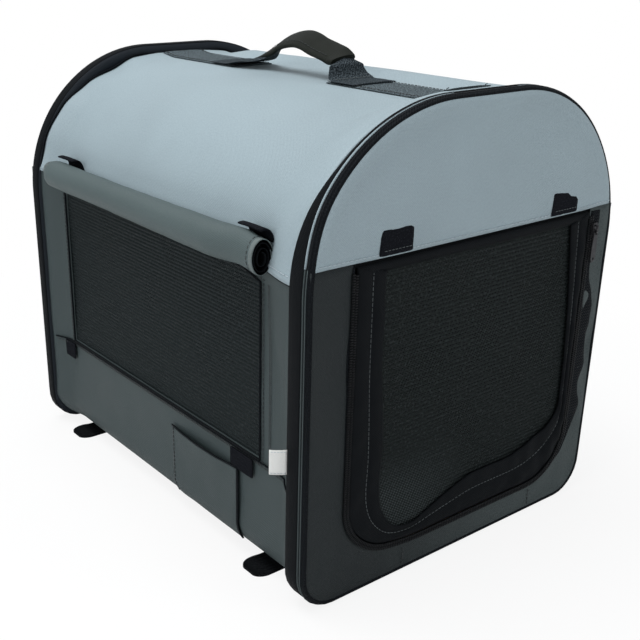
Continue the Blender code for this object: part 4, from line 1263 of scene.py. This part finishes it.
def door_net_place(u, z):
    drop = min(NET_CORNER, max(0.0, NET_LOW + NET_CORNER - z))
    half = NET_HALF - NET_CORNER + math.sqrt(NET_CORNER ** 2 - drop ** 2)
    v = (z - NET_LOW) / (net_top - NET_LOW)
    fade = ease((1 - abs(u)) * 3) * ease(v * 3) * ease((1 - v) * 3)
    x = NET_MIDDLE + u * half
    return Vector((x, -PANEL_Y + 0.0014 + 0.0025 * fade * (0.6 + 0.6 * wave_of((x, z), 12.0, 3.0)), z))




def net_light(u, z):
    """At its lower left the net's holes are painted light, so they show as a pale grid."""
    return 1.1 * ease((-u + 0.15) / 0.9) * ease((0.125 - z) / 0.06) + 0.06


hang(mesh, door_net_place, flat=upright, wear_and_painted_light=net_light)
face_away(mesh, INSIDE)
net = sew(mesh, "door_net_cloth", "door", door_net, "mesh_fabric", ["door_mesh"])

# %% [markdown]
# The zip is a nylon coil on two tapes. Each half of the coil is a row of small teeth along the door's edge. The
# teeth are tiny bars placed one pitch apart along the line, and the two rows stand half a pitch out of step. The
# tape outside the coil was sewn on with some slack, so on the right it stands off in waves.

# %% Zip
TOOTH_PITCH = 0.0021
TAPE_EDGE = (
    (-0.1368, 0.2898), (-0.1372, 0.250), (-0.1390, 0.226), (-0.1392, 0.210), (-0.1384, 0.189), (-0.1380, 0.150),
    (-0.1372, 0.110), (-0.1330, 0.084), (-0.120, 0.054), (-0.092, 0.0330), (-0.060, 0.0275), (-0.009, 0.0270),
    (0.045, 0.0268), (0.095, 0.0272), (0.112, 0.0295), (0.126, 0.0360), (0.1430, 0.0530), (0.1530, 0.074),
    (0.1620, 0.096), (0.1565, 0.120), (0.1625, 0.141), (0.1585, 0.160),
    (0.1615, 0.178), (0.1610, 0.206), (0.1510, 0.234), (0.1560, 0.262), (0.1560, 0.2898),
)


def add_teeth(name, body, offset, slot, replaces, start):
    points = [Vector((x, -PANEL_Y - 0.0012, z)) for x, z in door_line(offset, DOOR_TOP - 0.005)]
    outs = [Vector((0, -1, 0))] * len(points)
    mesh = new_cloth_mesh()
    add_bars(mesh, points, outs, TOOTH_PITCH * 0.56, TOOTH_PITCH, 0.0026, 0.0013, start)
    return sew(mesh, name, body, coil_nylon, slot, replaces, patterned=False)


add_teeth("zip_coil_frame", "front_frame", 0.0014, "zip_coil", ["frame_zip_teeth"], 0.0)
add_teeth("zip_coil_door", "door", -0.0016, "zip_coil", ["door_zip_teeth"], TOOTH_PITCH / 2)

tape_inner = even_line(door_line(0.0002, SEAM - 0.0002))
tape_outer = even_line(TAPE_EDGE, 6)
mesh = cut_flat((0, 0), (1, 1), (200, 4))


def tape_place(along, across):
    x, z = between(tape_inner, tape_outer, along, across)
    loose = ease((x - 0.12) / 0.03) * across
    return Vector((x, -PANEL_Y - 0.0008 - 0.0016 * loose * (0.6 + 0.6 * wave_of((along, 0.0), 60.0, 3.0)), z))


hang(mesh, tape_place, flat=upright)
face_away(mesh, INSIDE)
sew(mesh, "zip_tape_frame", "front_frame", binding, "black_fabric", thickness=0.0006)

# %% [markdown]
# ## Rear panel
# The back has the same outline with a smaller window that doesn't open.

# %% Rear panel
rear_low, rear_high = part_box("rear_window_mesh")
rear_inner = u_line(0.0, rear_high.x, rear_low.z, 0.020, rear_high.z)
mesh = cut_flat((0, 0), (1, 1), (136, 16))


def rear_place(along, across):
    x, z = between(rear_inner, rear_outer, along, across)
    fade = ease(across * 4) * ease((1 - across) * 4)
    return Vector((x, PANEL_Y + 0.0002 + fade * 0.0014 * wave_of((x, z), 16.0, 11.0), z))


hang(mesh, rear_place, flat=upright)
bmesh.ops.create_grid(mesh, x_segments=50, y_segments=2, size=0.5, matrix=Matrix.Translation((0, 0, 5)))
run, girth = mesh.verts.layers.float["run"], mesh.verts.layers.float["girth"]
for vertex in mesh.verts:
    if vertex.co.z > 4:
        z = rear_high.z + (SEAM - 0.0002 - rear_high.z) * (vertex.co.y + 0.5)
        half = rear_high.x + (inner["half"] - rear_high.x) * (vertex.co.y + 0.5)
        vertex.co = Vector((vertex.co.x * 2 * half, PANEL_Y + 0.0002, z))
        vertex[run], vertex[girth] = vertex.co.x, vertex.co.z
bmesh.ops.remove_doubles(mesh, verts=mesh.verts, dist=0.0002)
face_away(mesh, INSIDE)
sew(mesh, "rear_panel_cloth", "rear_frame", dark_cloth, "dark_fabric", ["rear_panel"], thickness=CLOTH)

low, high = rear_low, rear_high
mesh = cut_flat((low.x - NET_MARGIN, low.z - NET_MARGIN), (high.x + NET_MARGIN, high.z + NET_MARGIN), (40, 30))
hang(mesh, lambda x, z: Vector((x, PANEL_Y - 0.0014 - 0.001 * wave_of((x, z), 10.0, 4.0), z)))
face_away(mesh, INSIDE)
sew(mesh, "rear_window_net", "rear_frame", window_net, "mesh_fabric", ["rear_window_mesh"])
rear_edge = [Vector((x, PANEL_Y + 0.0004, z)) for x, z in rear_inner]
add_welt("rear_frame", rear_edge, [Vector((0, 1, 0))] * len(rear_edge), radius=0.0012, closed=True)

# %% [markdown]
# ## Rolled window flaps
# The window's cover is rolled up and hangs under the seam. A real roll is one cloth wound from its sewn edge to its
# free edge, so the piece is a spiral line extruded along the crate. The roll is pressed flatter and hangs lower at
# the door's end, and it grows narrow at the back. Its hem is a paler band, and the inside is lined in black.

# %% Flap rolls
ROLL_CENTRE = (0.1788, 0.2928)
ROLL_START = 190.8
ROLL_TURNS, ROLL_PITCH, ROLL_STEPS = 3.3, 0.0031, 28
ROLL_REAR, ROLL_FRONT, ROLL_MIDDLE = 0.0147, 0.0162, 0.0150
HEM_BAND, OUTER_TURN, ROLL_THICK = 0.0045, 0.086, 0.0007


def roll_spot(side, y, share, turn):
    """A point of the rolled cloth: share runs from the door to the back, turn counts the turns inwards."""
    start = ROLL_FRONT + (ROLL_REAR - ROLL_FRONT) * ease(share * 1.6)
    loose = 0.0008 * wave_of((y, turn * 0.1), 20.0, 1.0) + 0.0004 * wave_of((y, turn * 2), 60.0, 2.0)
    open_end = 0.0016 * ease(1 - share * 8) * ease(turn - 1.6)
    radius = start - ROLL_PITCH * turn * 0.93 - abs(loose) * ease(turn * 3) - open_end
    angle = math.radians(ROLL_START) - 2 * math.pi * turn
    tail = 0.38 * ease((share - 0.93) / 0.07)
    radius *= 1 - tail
    sag = -0.0009 * math.sin(math.pi * share) - 0.0035 * ease(1 - share * 14)
    across = (start - ROLL_MIDDLE) + radius * math.cos(angle) - tail * ROLL_MIDDLE
    across = (across + ROLL_MIDDLE) * (1 - 0.30 * ease(1.2 - share * 7)) - ROLL_MIDDLE
    return Vector((side * (ROLL_CENTRE[0] + across), y, ROLL_CENTRE[1] + sag + radius * math.sin(angle)))


def build_roll(name, side):
    low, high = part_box(name + "_flap_roll")
    length = high.y - low.y
    ys = [low.y, low.y + 0.002, low.y + HEM_BAND, low.y + HEM_BAND + 0.0005]
    ys += [low.y + 0.0055 + (length - 0.0110) * n / 60 for n in range(1, 60)]
    ys += [high.y - HEM_BAND - 0.0005, high.y - HEM_BAND, high.y - 0.002, high.y]
    count = int(ROLL_TURNS * ROLL_STEPS)
    line = [(Vector((0, y, 0)), Vector((0, 1, 0)), Vector((0, 0, 1))) for y in ys]

    def spiral(share):
        y = ys[round(share * (len(ys) - 1))]
        spots = [roll_spot(side, y, (y - low.y) / length, step / ROLL_STEPS) for step in range(count + 1)]
        return [(spot.x, spot.z) for spot in spots]

    mesh = new_cloth_mesh()
    sweep(mesh, line, spiral)
    mesh.normal_update()
    centre = Vector((side * ROLL_CENTRE[0], 0, ROLL_CENTRE[1]))
    girth = mesh.verts.layers.float["girth"]
    total = 0.0
    for face in mesh.faces:
        spot = face.calc_center_median()
        total += face.normal.dot(spot - Vector((centre.x, spot.y, centre.z)))
    if total < 0:
        bmesh.ops.reverse_faces(mesh, faces=mesh.faces)
    for face in mesh.faces:
        spot = face.calc_center_median()
        if min(spot.y - low.y, high.y - spot.y) < HEM_BAND:
            wound = sum(vertex[girth] for vertex in face.verts) / len(face.verts)
            face.material_index = 2 if wound < OUTER_TURN else 3
    replaced = [name + "_flap_roll"]
    piece = sew(mesh, name + "_roll_cloth", "base", roll_cloth, "dark_fabric", replaced, ROLL_THICK, black_cloth)
    piece.data.materials.append(hem_cloth)
    piece.data.materials.append(black_cloth)
    for y in (low.y + HEM_BAND + 0.0022, high.y - HEM_BAND - 0.0022):
        points = [roll_spot(side, y, (y - low.y) / length, 0.03 + 0.62 * n / 24) for n in range(25)]
        outs = [(point - Vector((centre.x, y, centre.z))).normalized() for point in points]
        add_stitches("base", points, outs)


for name, side in (("left", -1), ("right", 1)):
    build_roll(name, side)

# %% [markdown]
# ## Hook-and-loop tabs and patches
# Short strips of hook tape hold the rolled flaps, and two more hang from the pale arch over the door. They are
# small blocks of tape with a slightly uneven edge. A side tab comes out behind the roll and lies over its crest.

# %% Tabs and patches
TAPE_THICK, TAPE_CELLS, RAGGED = 0.0012, 10, 0.0004


def tape_block(name, body, node_name):
    """A flat piece of tape in the place of a CAD node, its two longest sides following the node's box."""
    low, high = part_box(node_name)
    size = high - low
    thin = min(range(3), key=lambda axis: size[axis])
    a, b = [axis for axis in (0, 1, 2) if axis != thin]
    mesh = new_cloth_mesh()
    bmesh.ops.create_cube(mesh, size=1.0)
    mesh.edges.ensure_lookup_table()
    long_edges = [edge for edge in mesh.edges if abs((edge.verts[0].co - edge.verts[1].co)[thin]) < 0.5]
    bmesh.ops.subdivide_edges(mesh, edges=long_edges, cuts=TAPE_CELLS, use_grid_fill=True)
    for vertex in mesh.verts:
        spot = vertex.co.copy()
        for axis in (0, 1, 2):
            vertex.co[axis] = low[axis] + size[axis] * (spot[axis] + 0.5)
        if max(abs(spot[a]), abs(spot[b])) > 0.49:
            corner = abs(spot[a]) > 0.46 and abs(spot[b]) > 0.46
            shake = RAGGED * wave_of((vertex.co[a], vertex.co[b]), 260.0, 3.0) - (0.0004 if corner else 0.0)
            vertex.co[a] += shake * (1 if spot[a] > 0 else -1)
            vertex.co[b] += shake * (1 if spot[b] > 0 else -1)
            vertex.co[thin] = (low[thin] + high[thin]) / 2 + (vertex.co[thin] - (low[thin] + high[thin]) / 2) * 0.7
    return sew(mesh, name, body, tab_tape, "webbing", [node_name], patterned=False)


def roll_tab(name, side, end):
    """A short strip that comes out behind the roll and lies over its crest."""
    node_name = f"{name}_tab_{end}"
    low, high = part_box(node_name)
    middle = (low.y + high.y) / 2
    half = (high.y - low.y) / 2
    path = smooth_line([(0.1628, 0.2990), (0.1642, 0.3048), (0.1668, 0.3086), (0.1704, 0.3098), (0.1745, 0.3094)], 3)
    points = [Vector((side * x, middle, z)) for x, z in path]
    mesh = new_cloth_mesh()
    outs = [Vector((-side * ahead.z, 0, abs(ahead.x))) for ahead in tangents(points)]
    rounded = [(-half, 0.0), (-half * 0.5, 0.0002), (0, 0.0003), (half * 0.5, 0.0002), (half, 0.0)]
    sweep(mesh, stations_along(points, outs), lambda share: rounded)
    face_away(mesh, INSIDE)
    sew(mesh, node_name + "_tape", node_name + "_body", tab_tape, "webbing", [node_name], thickness=TAPE_THICK)


for name, side in (("left", -1), ("right", 1)):
    node_name = "front_tab_" + name
    tape_block(node_name + "_tape", node_name + "_body", node_name)
    low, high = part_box(node_name)
    foot = [Vector((low.x + 0.003 + (high.x - low.x - 0.006) * n / 8, low.y - 0.0002, low.z + 0.004)) for n in range(9)]
    add_stitches(node_name + "_body", foot, [Vector((0, -1, 0))] * 9, "grey", length=0.0022, width=0.0004)
    for end in ("front", "rear"):
        tape_block(f"{name}_patch_{end}_tape", "base", f"{name}_patch_{end}")
        roll_tab(name, side, end)

# %% [markdown]
# ## Pocket and blank label
# A small open pocket sits low on the left side, with a bound top edge that gapes a little. At the front hoop a
# plain sewn label stands out of the seam like a flag, left blank.

# %% Pocket and label
pocket_low, pocket_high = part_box("side_pocket")
pocket_top = run_at_height(shell, pocket_high.z)
pocket_end = run_at_height(shell, pocket_low.z + 0.0085)
POCKET_WIDTH = pocket_high.y - pocket_low.y
mesh = cut_flat((pocket_top, pocket_low.y), (pocket_end, pocket_high.y), (22, 28))


def pocket_place(run, y):
    u = (y - pocket_low.y) / POCKET_WIDTH
    gape = 0.0036 * math.sin(math.pi * u) * ease(1 - (run - pocket_top) / 0.035)
    slack = 0.0009 * wave_of((run, y), 40.0, 12.0)
    shell_spot, out = on_shell(-run, y, 0.0011 + gape + slack * ease((u * (1 - u)) * 12))
    return shell_spot


hang(mesh, pocket_place)
face_away(mesh, LOW_INSIDE)
sew(mesh, "pocket_cloth", "base", dark_cloth, "dark_fabric", ["side_pocket"], thickness=CLOTH)
for edge, along, radius in (
    ("top", [(pocket_top, pocket_low.y + POCKET_WIDTH * n / 24) for n in range(25)], 0.0011),
    ("front", [(pocket_top + (pocket_end - pocket_top) * n / 24, pocket_low.y) for n in range(25)], 0.0015),
):
    points = [pocket_place(run, y) for run, y in along]
    mesh = new_cloth_mesh()
    stations = stations_along(points, [Vector((-1, 0, 0))] * len(points))
    sweep(mesh, stations, lambda share: round_profile(radius, flat=0.6), ring=True)
    bmesh.ops.recalc_face_normals(mesh, faces=mesh.faces)
    sew(mesh, f"pocket_binding_{edge}", "base", binding, "black_fabric")
runs = [pocket_top + (pocket_end - pocket_top) * n / 20 for n in range(21)]
points = [pocket_place(run, pocket_high.y - 0.003) + Vector((-0.0004, 0, 0)) for run in runs]
add_stitches("base", points, [Vector((-1, 0, 0))] * len(points))

LABEL_LOW, LABEL_TALL, LABEL_WIDE = 0.1245, 0.0216, 0.0140


def label_place(reach, z):
    """The flag stands away from the hoop, turned towards the front corner."""
    bend = 0.0007 * math.sin(reach / LABEL_WIDE * math.pi)
    return Vector((-0.1795 - 0.795 * reach - 0.606 * bend, -0.2090 + 0.606 * reach - 0.795 * bend, z))


mesh = cut_flat((0.0, LABEL_LOW), (LABEL_WIDE, LABEL_LOW + LABEL_TALL), (8, 6))
hang(mesh, label_place)
face_away(mesh, LOW_INSIDE)
sew(mesh, "label_ribbon", "base", label_cloth, "label_fabric", ["blank_label"], thickness=0.0004)
for z in (LABEL_LOW + 0.0015, LABEL_LOW + LABEL_TALL - 0.0015):
    points = [label_place(LABEL_WIDE * n / 8, z) + Vector((-0.0003, -0.0004, 0)) for n in range(9)]
    add_stitches("base", points, [Vector((-0.606, -0.795, 0))] * 9, "pale", length=0.0018, gap=0.0008, width=0.0003)

# %% [markdown]
# ## Base, pad and binding straps
# The floor is a stiff board between the base cloth and a quilted pad. The pad is a slab of wadding in a sewn cover:
# a thin slab is inflated by a short cloth simulation, and its sewn channels are pressed in afterwards. Two webbing
# straps are sewn across the underside. They tie the crate when it is folded, and their rounded ends show beside it.

# %% Base and board
base_low, base_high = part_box("base_fabric")
mesh = cut_flat((base_low.x, base_low.y), (base_high.x, base_high.y), (30, 40))
hang(mesh, lambda x, y: Vector((x, y, base_high.z - 0.0002)))
face_away(mesh, FAR_ABOVE)
base_cloth = sew(mesh, "base_cloth", "base", dark_cloth, "dark_fabric", ["base_fabric"], thickness=0.0013)

# %% Quilted pad
pad_low, pad_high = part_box("floor_pad")
PAD_VOXEL, PAD_SWELL, PAD_FRAMES = 0.006, 0.0035, 20
QUILT_PITCH, QUILT_DEPTH = 0.070, 0.0030
pad_cloth, tree, shader = new_finish("pad_cloth", (0.030, 0.034, 0.037), 0.85, sheen=0.1, gloss=0.25)
spot = put(tree, "ShaderNodeTexCoord").outputs["Object"]
place = put(tree, "ShaderNodeSeparateXYZ", {0: spot})
weave = times(tree, ripple(tree, place.outputs[0], 0.0012), ripple(tree, place.outputs[1], 0.0012))
fluff = cloudy(tree, spot, 160.0, 3.0)
tone = plus(tree, times(tree, fluff, 0.6), 0.7)
paint(tree, shader, (0.030, 0.034, 0.037), (0.060, 0.065, 0.070), tone, times(tree, fluff, 0.3))
raise_surface(tree, shader, plus(tree, weave, fluff), 0.0003)


def inflate(piece, frames, most):
    """Blows a closed cloth shell up a little and keeps the shape, with no point moving further than most."""
    before = [vertex.co.copy() for vertex in piece.data.vertices]
    cloth = piece.modifiers.new("Inflate", "CLOTH")
    cloth.settings.use_pressure = True
    cloth.settings.uniform_pressure_force = 4.0
    cloth.settings.effector_weights.gravity = 0.0
    scene = bpy.context.scene
    for number in range(1, frames + 1):
        scene.frame_set(number)
    swollen = piece.evaluated_get(bpy.context.evaluated_depsgraph_get()).to_mesh()
    after = [vertex.co.copy() for vertex in swollen.vertices]
    piece.modifiers.remove(cloth)
    scene.frame_set(1)
    for vertex, start, end in zip(piece.data.vertices, before, after):
        move = end - start
        vertex.co = start + move * min(1.0, most / max(move.length, 1e-9))


def wadding_slab():
    """A thin slab with rounded sides, remeshed evenly, as a new mesh."""
    mesh = bmesh.new()
    bmesh.ops.create_cube(mesh, size=1.0)
    size = pad_high - pad_low
    slab = (size.x - 2 * PAD_SWELL, size.y - 2 * PAD_SWELL, size.z * 0.55)
    bmesh.ops.scale(mesh, vec=slab, verts=mesh.verts)
    bmesh.ops.translate(mesh, vec=(pad_low + pad_high) / 2, verts=mesh.verts)
    bmesh.ops.bevel(mesh, geom=mesh.edges[:], offset=size.z * 0.2, segments=3, affect="EDGES", profile=0.5, material=-1)
    data = bpy.data.meshes.new("slab")
    mesh.to_mesh(data)
    mesh.free()
    holder = bpy.data.objects.new("slab", data)
    bpy.context.scene.collection.objects.link(holder)
    even = holder.modifiers.new("Even", "REMESH")
    even.mode = "VOXEL"
    even.voxel_size = PAD_VOXEL
    made = bpy.data.meshes.new_from_object(holder.evaluated_get(bpy.context.evaluated_depsgraph_get()))
    bpy.data.objects.remove(holder)
    return made


pad = bpy.data.objects.new("quilted_pad", wadding_slab())
bpy.context.scene.collection.objects.link(pad)
inflate(pad, PAD_FRAMES, PAD_SWELL)
for vertex in pad.data.vertices:
    x, y, z = vertex.co
    if z > (pad_low.z + pad_high.z) / 2:
        channel = abs(math.sin(math.pi * (x + y) / QUILT_PITCH) * math.sin(math.pi * (x - y) / QUILT_PITCH))
        inset = min(pad_high.x - abs(x), pad_high.y - abs(y))
        vertex.co.z -= QUILT_DEPTH * (1 - channel ** 0.35) * ease(inset / 0.02)
    vertex.co.z = max(pad_low.z, min(pad_high.z, vertex.co.z))
pad.data.materials.append(pad_cloth)
pad.data.shade_smooth()
rounder = pad.modifiers.new("Rounder", "SUBSURF")
rounder.levels = rounder.render_levels = 1
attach(pad, "base")
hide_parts("floor_pad")
crumpling.append(pad)
print("pad", len(pad.data.vertices), "points")

# %% Tie straps
TIE_THICK, TIE_ROUND, TIE_MORE = 0.0026, 0.013, 0.0065
for end in ("front", "rear"):
    low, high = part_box("tie_strap_" + end)
    middle = (low.y + high.y) / 2
    half = (high.y - low.y) / 2
    width = high.x - low.x + 2 * TIE_MORE
    shares = [n / 60 for n in range(61)]
    shares = [0.5 - 0.5 * math.cos(math.pi * share) for share in shares]
    points = [Vector((low.x - TIE_MORE + width * share, middle, 0.0001)) for share in shares]

    def strap_profile(share):
        place = 0.5 - 0.5 * math.cos(math.pi * share)
        close = min(place, 1 - place) * width
        rounding = math.sqrt(max(0.0, 1 - ((TIE_ROUND - min(TIE_ROUND, close)) / (TIE_ROUND * 1.01)) ** 2))
        wide = half * (0.35 + 0.65 * rounding)
        inside = ease((close - 0.015) / 0.010)
        thick = TIE_THICK + (0.0012 - TIE_THICK) * inside
        upper = [(wide, thick * 0.7), (wide - 0.0012, thick), (-wide + 0.0012, thick), (-wide, thick * 0.7)]
        return [(-wide, 0.0), (wide, 0.0)] + upper

    mesh = new_cloth_mesh()
    sweep(mesh, stations_along(points, [Vector((0, 0, 1))] * len(points)), strap_profile, ring=True)
    bmesh.ops.recalc_face_normals(mesh, faces=mesh.faces)
    sew(mesh, f"tie_{end}_webbing", "base", strap_black, "webbing", ["tie_strap_" + end], sharp=50)

# %% [markdown]
# ## Carrying handle
# One length of mixed black and grey webbing is sewn flat along the roof and stands up as a loop in the middle. A
# smooth wrap is folded round the loop, so the webbing is gathered to half its width there. The loop has been
# pulled over to the left, so its grip leans. Its line is measured, and the webbing is a flat profile extruded along
# it, which grows narrow and turns on the way. The loop's webbing is a darker copy of the straps' webbing, as painted
# shade.

# %% Handle line
strap_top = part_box("handle_strap_front")[1].z
LOOP = (
    (-0.098, 0.0), (-0.080, 0.0), (-0.070, 0.0), (-0.064, 0.0030), (-0.0615, 0.0080), (-0.0600, 0.0125),
    (-0.0520, 0.0165), (-0.0380, 0.0205), (-0.0215, 0.0240), (-0.0100, 0.0275), (0.0020, 0.0290), (0.0165, 0.0270),
    (0.0290, 0.0230), (0.0410, 0.0165), (0.0610, 0.0075), (0.0810, 0.0020), (0.0950, 0.0), (0.1160, 0.0),
)
HANDLE_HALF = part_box("handle_loop")[1].x
GRIP_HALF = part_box("handle_grip")[1].x
LEAN = math.radians(27)
bed = strap_top + 0.0011
loop_line = smooth_line([(0, y, bed + rise) for y, rise in LOOP], 6)


def loop_half(y):
    """Half the webbing's width: full at the feet, gathered under the grip."""
    front = ease((y + 0.066) / 0.012)
    rear = ease((0.080 - y) / 0.042)
    return HANDLE_HALF + (GRIP_HALF - 0.0008 - HANDLE_HALF) * min(front, rear)


def loop_lean(y):
    return LEAN * min(ease((y + 0.062) / 0.018), ease((0.075 - y) / 0.040))


def loop_outs(points):
    """The webbing's upper side at each point: level on the roof, leaning over in the loop."""
    outs = []
    for point, ahead in zip(points, tangents(points)):
        out = Vector((0, -ahead.z, ahead.y))
        side = ahead.cross(out)
        lean = loop_lean(point.y)
        outs.append(out * math.cos(lean) - side * math.sin(lean))
    return outs


def webbing_rows(halves, thick=0.0007):
    """The webbing's profile at each station, cupped a little where it is gathered."""
    rows = []
    for half in halves:
        cup = 0.10 * (HANDLE_HALF - half)
        rows.append([(-half, -cup), (-half * 0.5, thick), (0, thick + cup), (half * 0.5, thick), (half, -cup),
                     (half * 0.96, -thick - cup), (0, -thick + cup * 0.6), (-half * 0.96, -thick - cup)])
    return rows


def build_band(name, body, points, outs, rows, finish, node_name):
    mesh = new_cloth_mesh()
    sweep(mesh, stations_along(points, outs), lambda share: rows[round(share * (len(rows) - 1))], ring=True)
    bmesh.ops.recalc_face_normals(mesh, faces=mesh.faces)
    sew(mesh, name, body, finish, "webbing", [node_name], sharp=60)


loop_rows = webbing_rows([loop_half(point.y) for point in loop_line])
build_band("handle_webbing", "handle", loop_line, loop_outs(loop_line), loop_rows, loop_webbing_painted_shade, "handle_loop")

# %% Grip and roof straps
GRIP_FROM, GRIP_TO, GRIP_THICK = 6 * 6 - 2, 14 * 6 + 4, 0.0030
grip_line = loop_line[GRIP_FROM:GRIP_TO]
grip_rows = []
for number in range(len(grip_line)):
    share = number / (len(grip_line) - 1)
    swell = 1.0 + 0.08 * math.sin(math.pi * share) + 0.10 * ease(1 - share * 6) - 0.45 * ease(share * 5 - 4)
    wide = GRIP_HALF * swell
    thick = GRIP_THICK * (1.0 + 0.4 * ease(1 - share * 6)) * (0.55 + 0.45 * ease((1 - share) * 8))
    angles = [2 * math.pi * n / 16 for n in range(16)]
    heights = [math.copysign(abs(math.sin(angle)) ** 0.6, math.sin(angle)) for angle in angles]
    grip_rows.append([(wide * math.cos(angle), thick * height) for angle, height in zip(angles, heights)])
build_band("handle_grip_wrap", "handle", grip_line, loop_outs(grip_line), grip_rows, grip_cloth, "handle_grip")
outs = loop_outs(grip_line)
to_edge = Vector((-GRIP_HALF * 0.55, 0, -GRIP_HALF * 0.28))
edge_line = [point + out * 0.0030 + to_edge for point, out in zip(grip_line, outs)][6:-6]
add_stitches("handle", edge_line, outs[6:-6], width=0.0004)

for end in ("front", "rear"):
    node_name = "handle_strap_" + end
    low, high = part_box(node_name)
    count = 30
    ys = [low.y + (high.y - low.y) * n / count for n in range(count + 1)]
    if end == "front":
        ys = [max(y, -FLARE_END - 0.0005) for y in ys]
    ys = sorted(set(ys))
    points = [Vector((0, y, strap_top - 0.0006 + cloth_rise(0.0, y))) for y in ys]
    rows = webbing_rows([HANDLE_HALF] * len(points))
    build_band(f"roof_strap_{end}_webbing", "base", points, [Vector((0, 0, 1))] * len(points), rows, webbing, node_name)
    for x in (-HANDLE_HALF + 0.003, HANDLE_HALF - 0.003):
        add_stitches("base", [point + Vector((x, 0, 0.0009)) for point in points], [Vector((0, 0, 1))] * len(points))
    foot = LOOP[2][0] if end == "front" else LOOP[-3][0]
    seam = [Vector((-HANDLE_HALF + 0.002 + (2 * HANDLE_HALF - 0.004) * n / 12, foot, bed + 0.0013)) for n in range(13)]
    add_stitches("handle", seam, [Vector((0, 0, 1))] * 13, "grey")

# %% [markdown]
# ## Closing the seams
# The welts and stitches gathered so far become one piece for each body. Last, every soft piece on the base, the
# handle and the side tabs gets a mesh of its own.

# %% Threads, welts and own meshes
for (body, tone), mesh in threads.items():
    sew(mesh, f"{body}_{tone}_stitches", body, *THREADS[tone], patterned=False)
for body, mesh in welts.items():
    bmesh.ops.recalc_face_normals(mesh, faces=mesh.faces)
    sew(mesh, f"{body}_welts", body, binding, "black_fabric")
for piece in crumpling:
    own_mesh(piece)
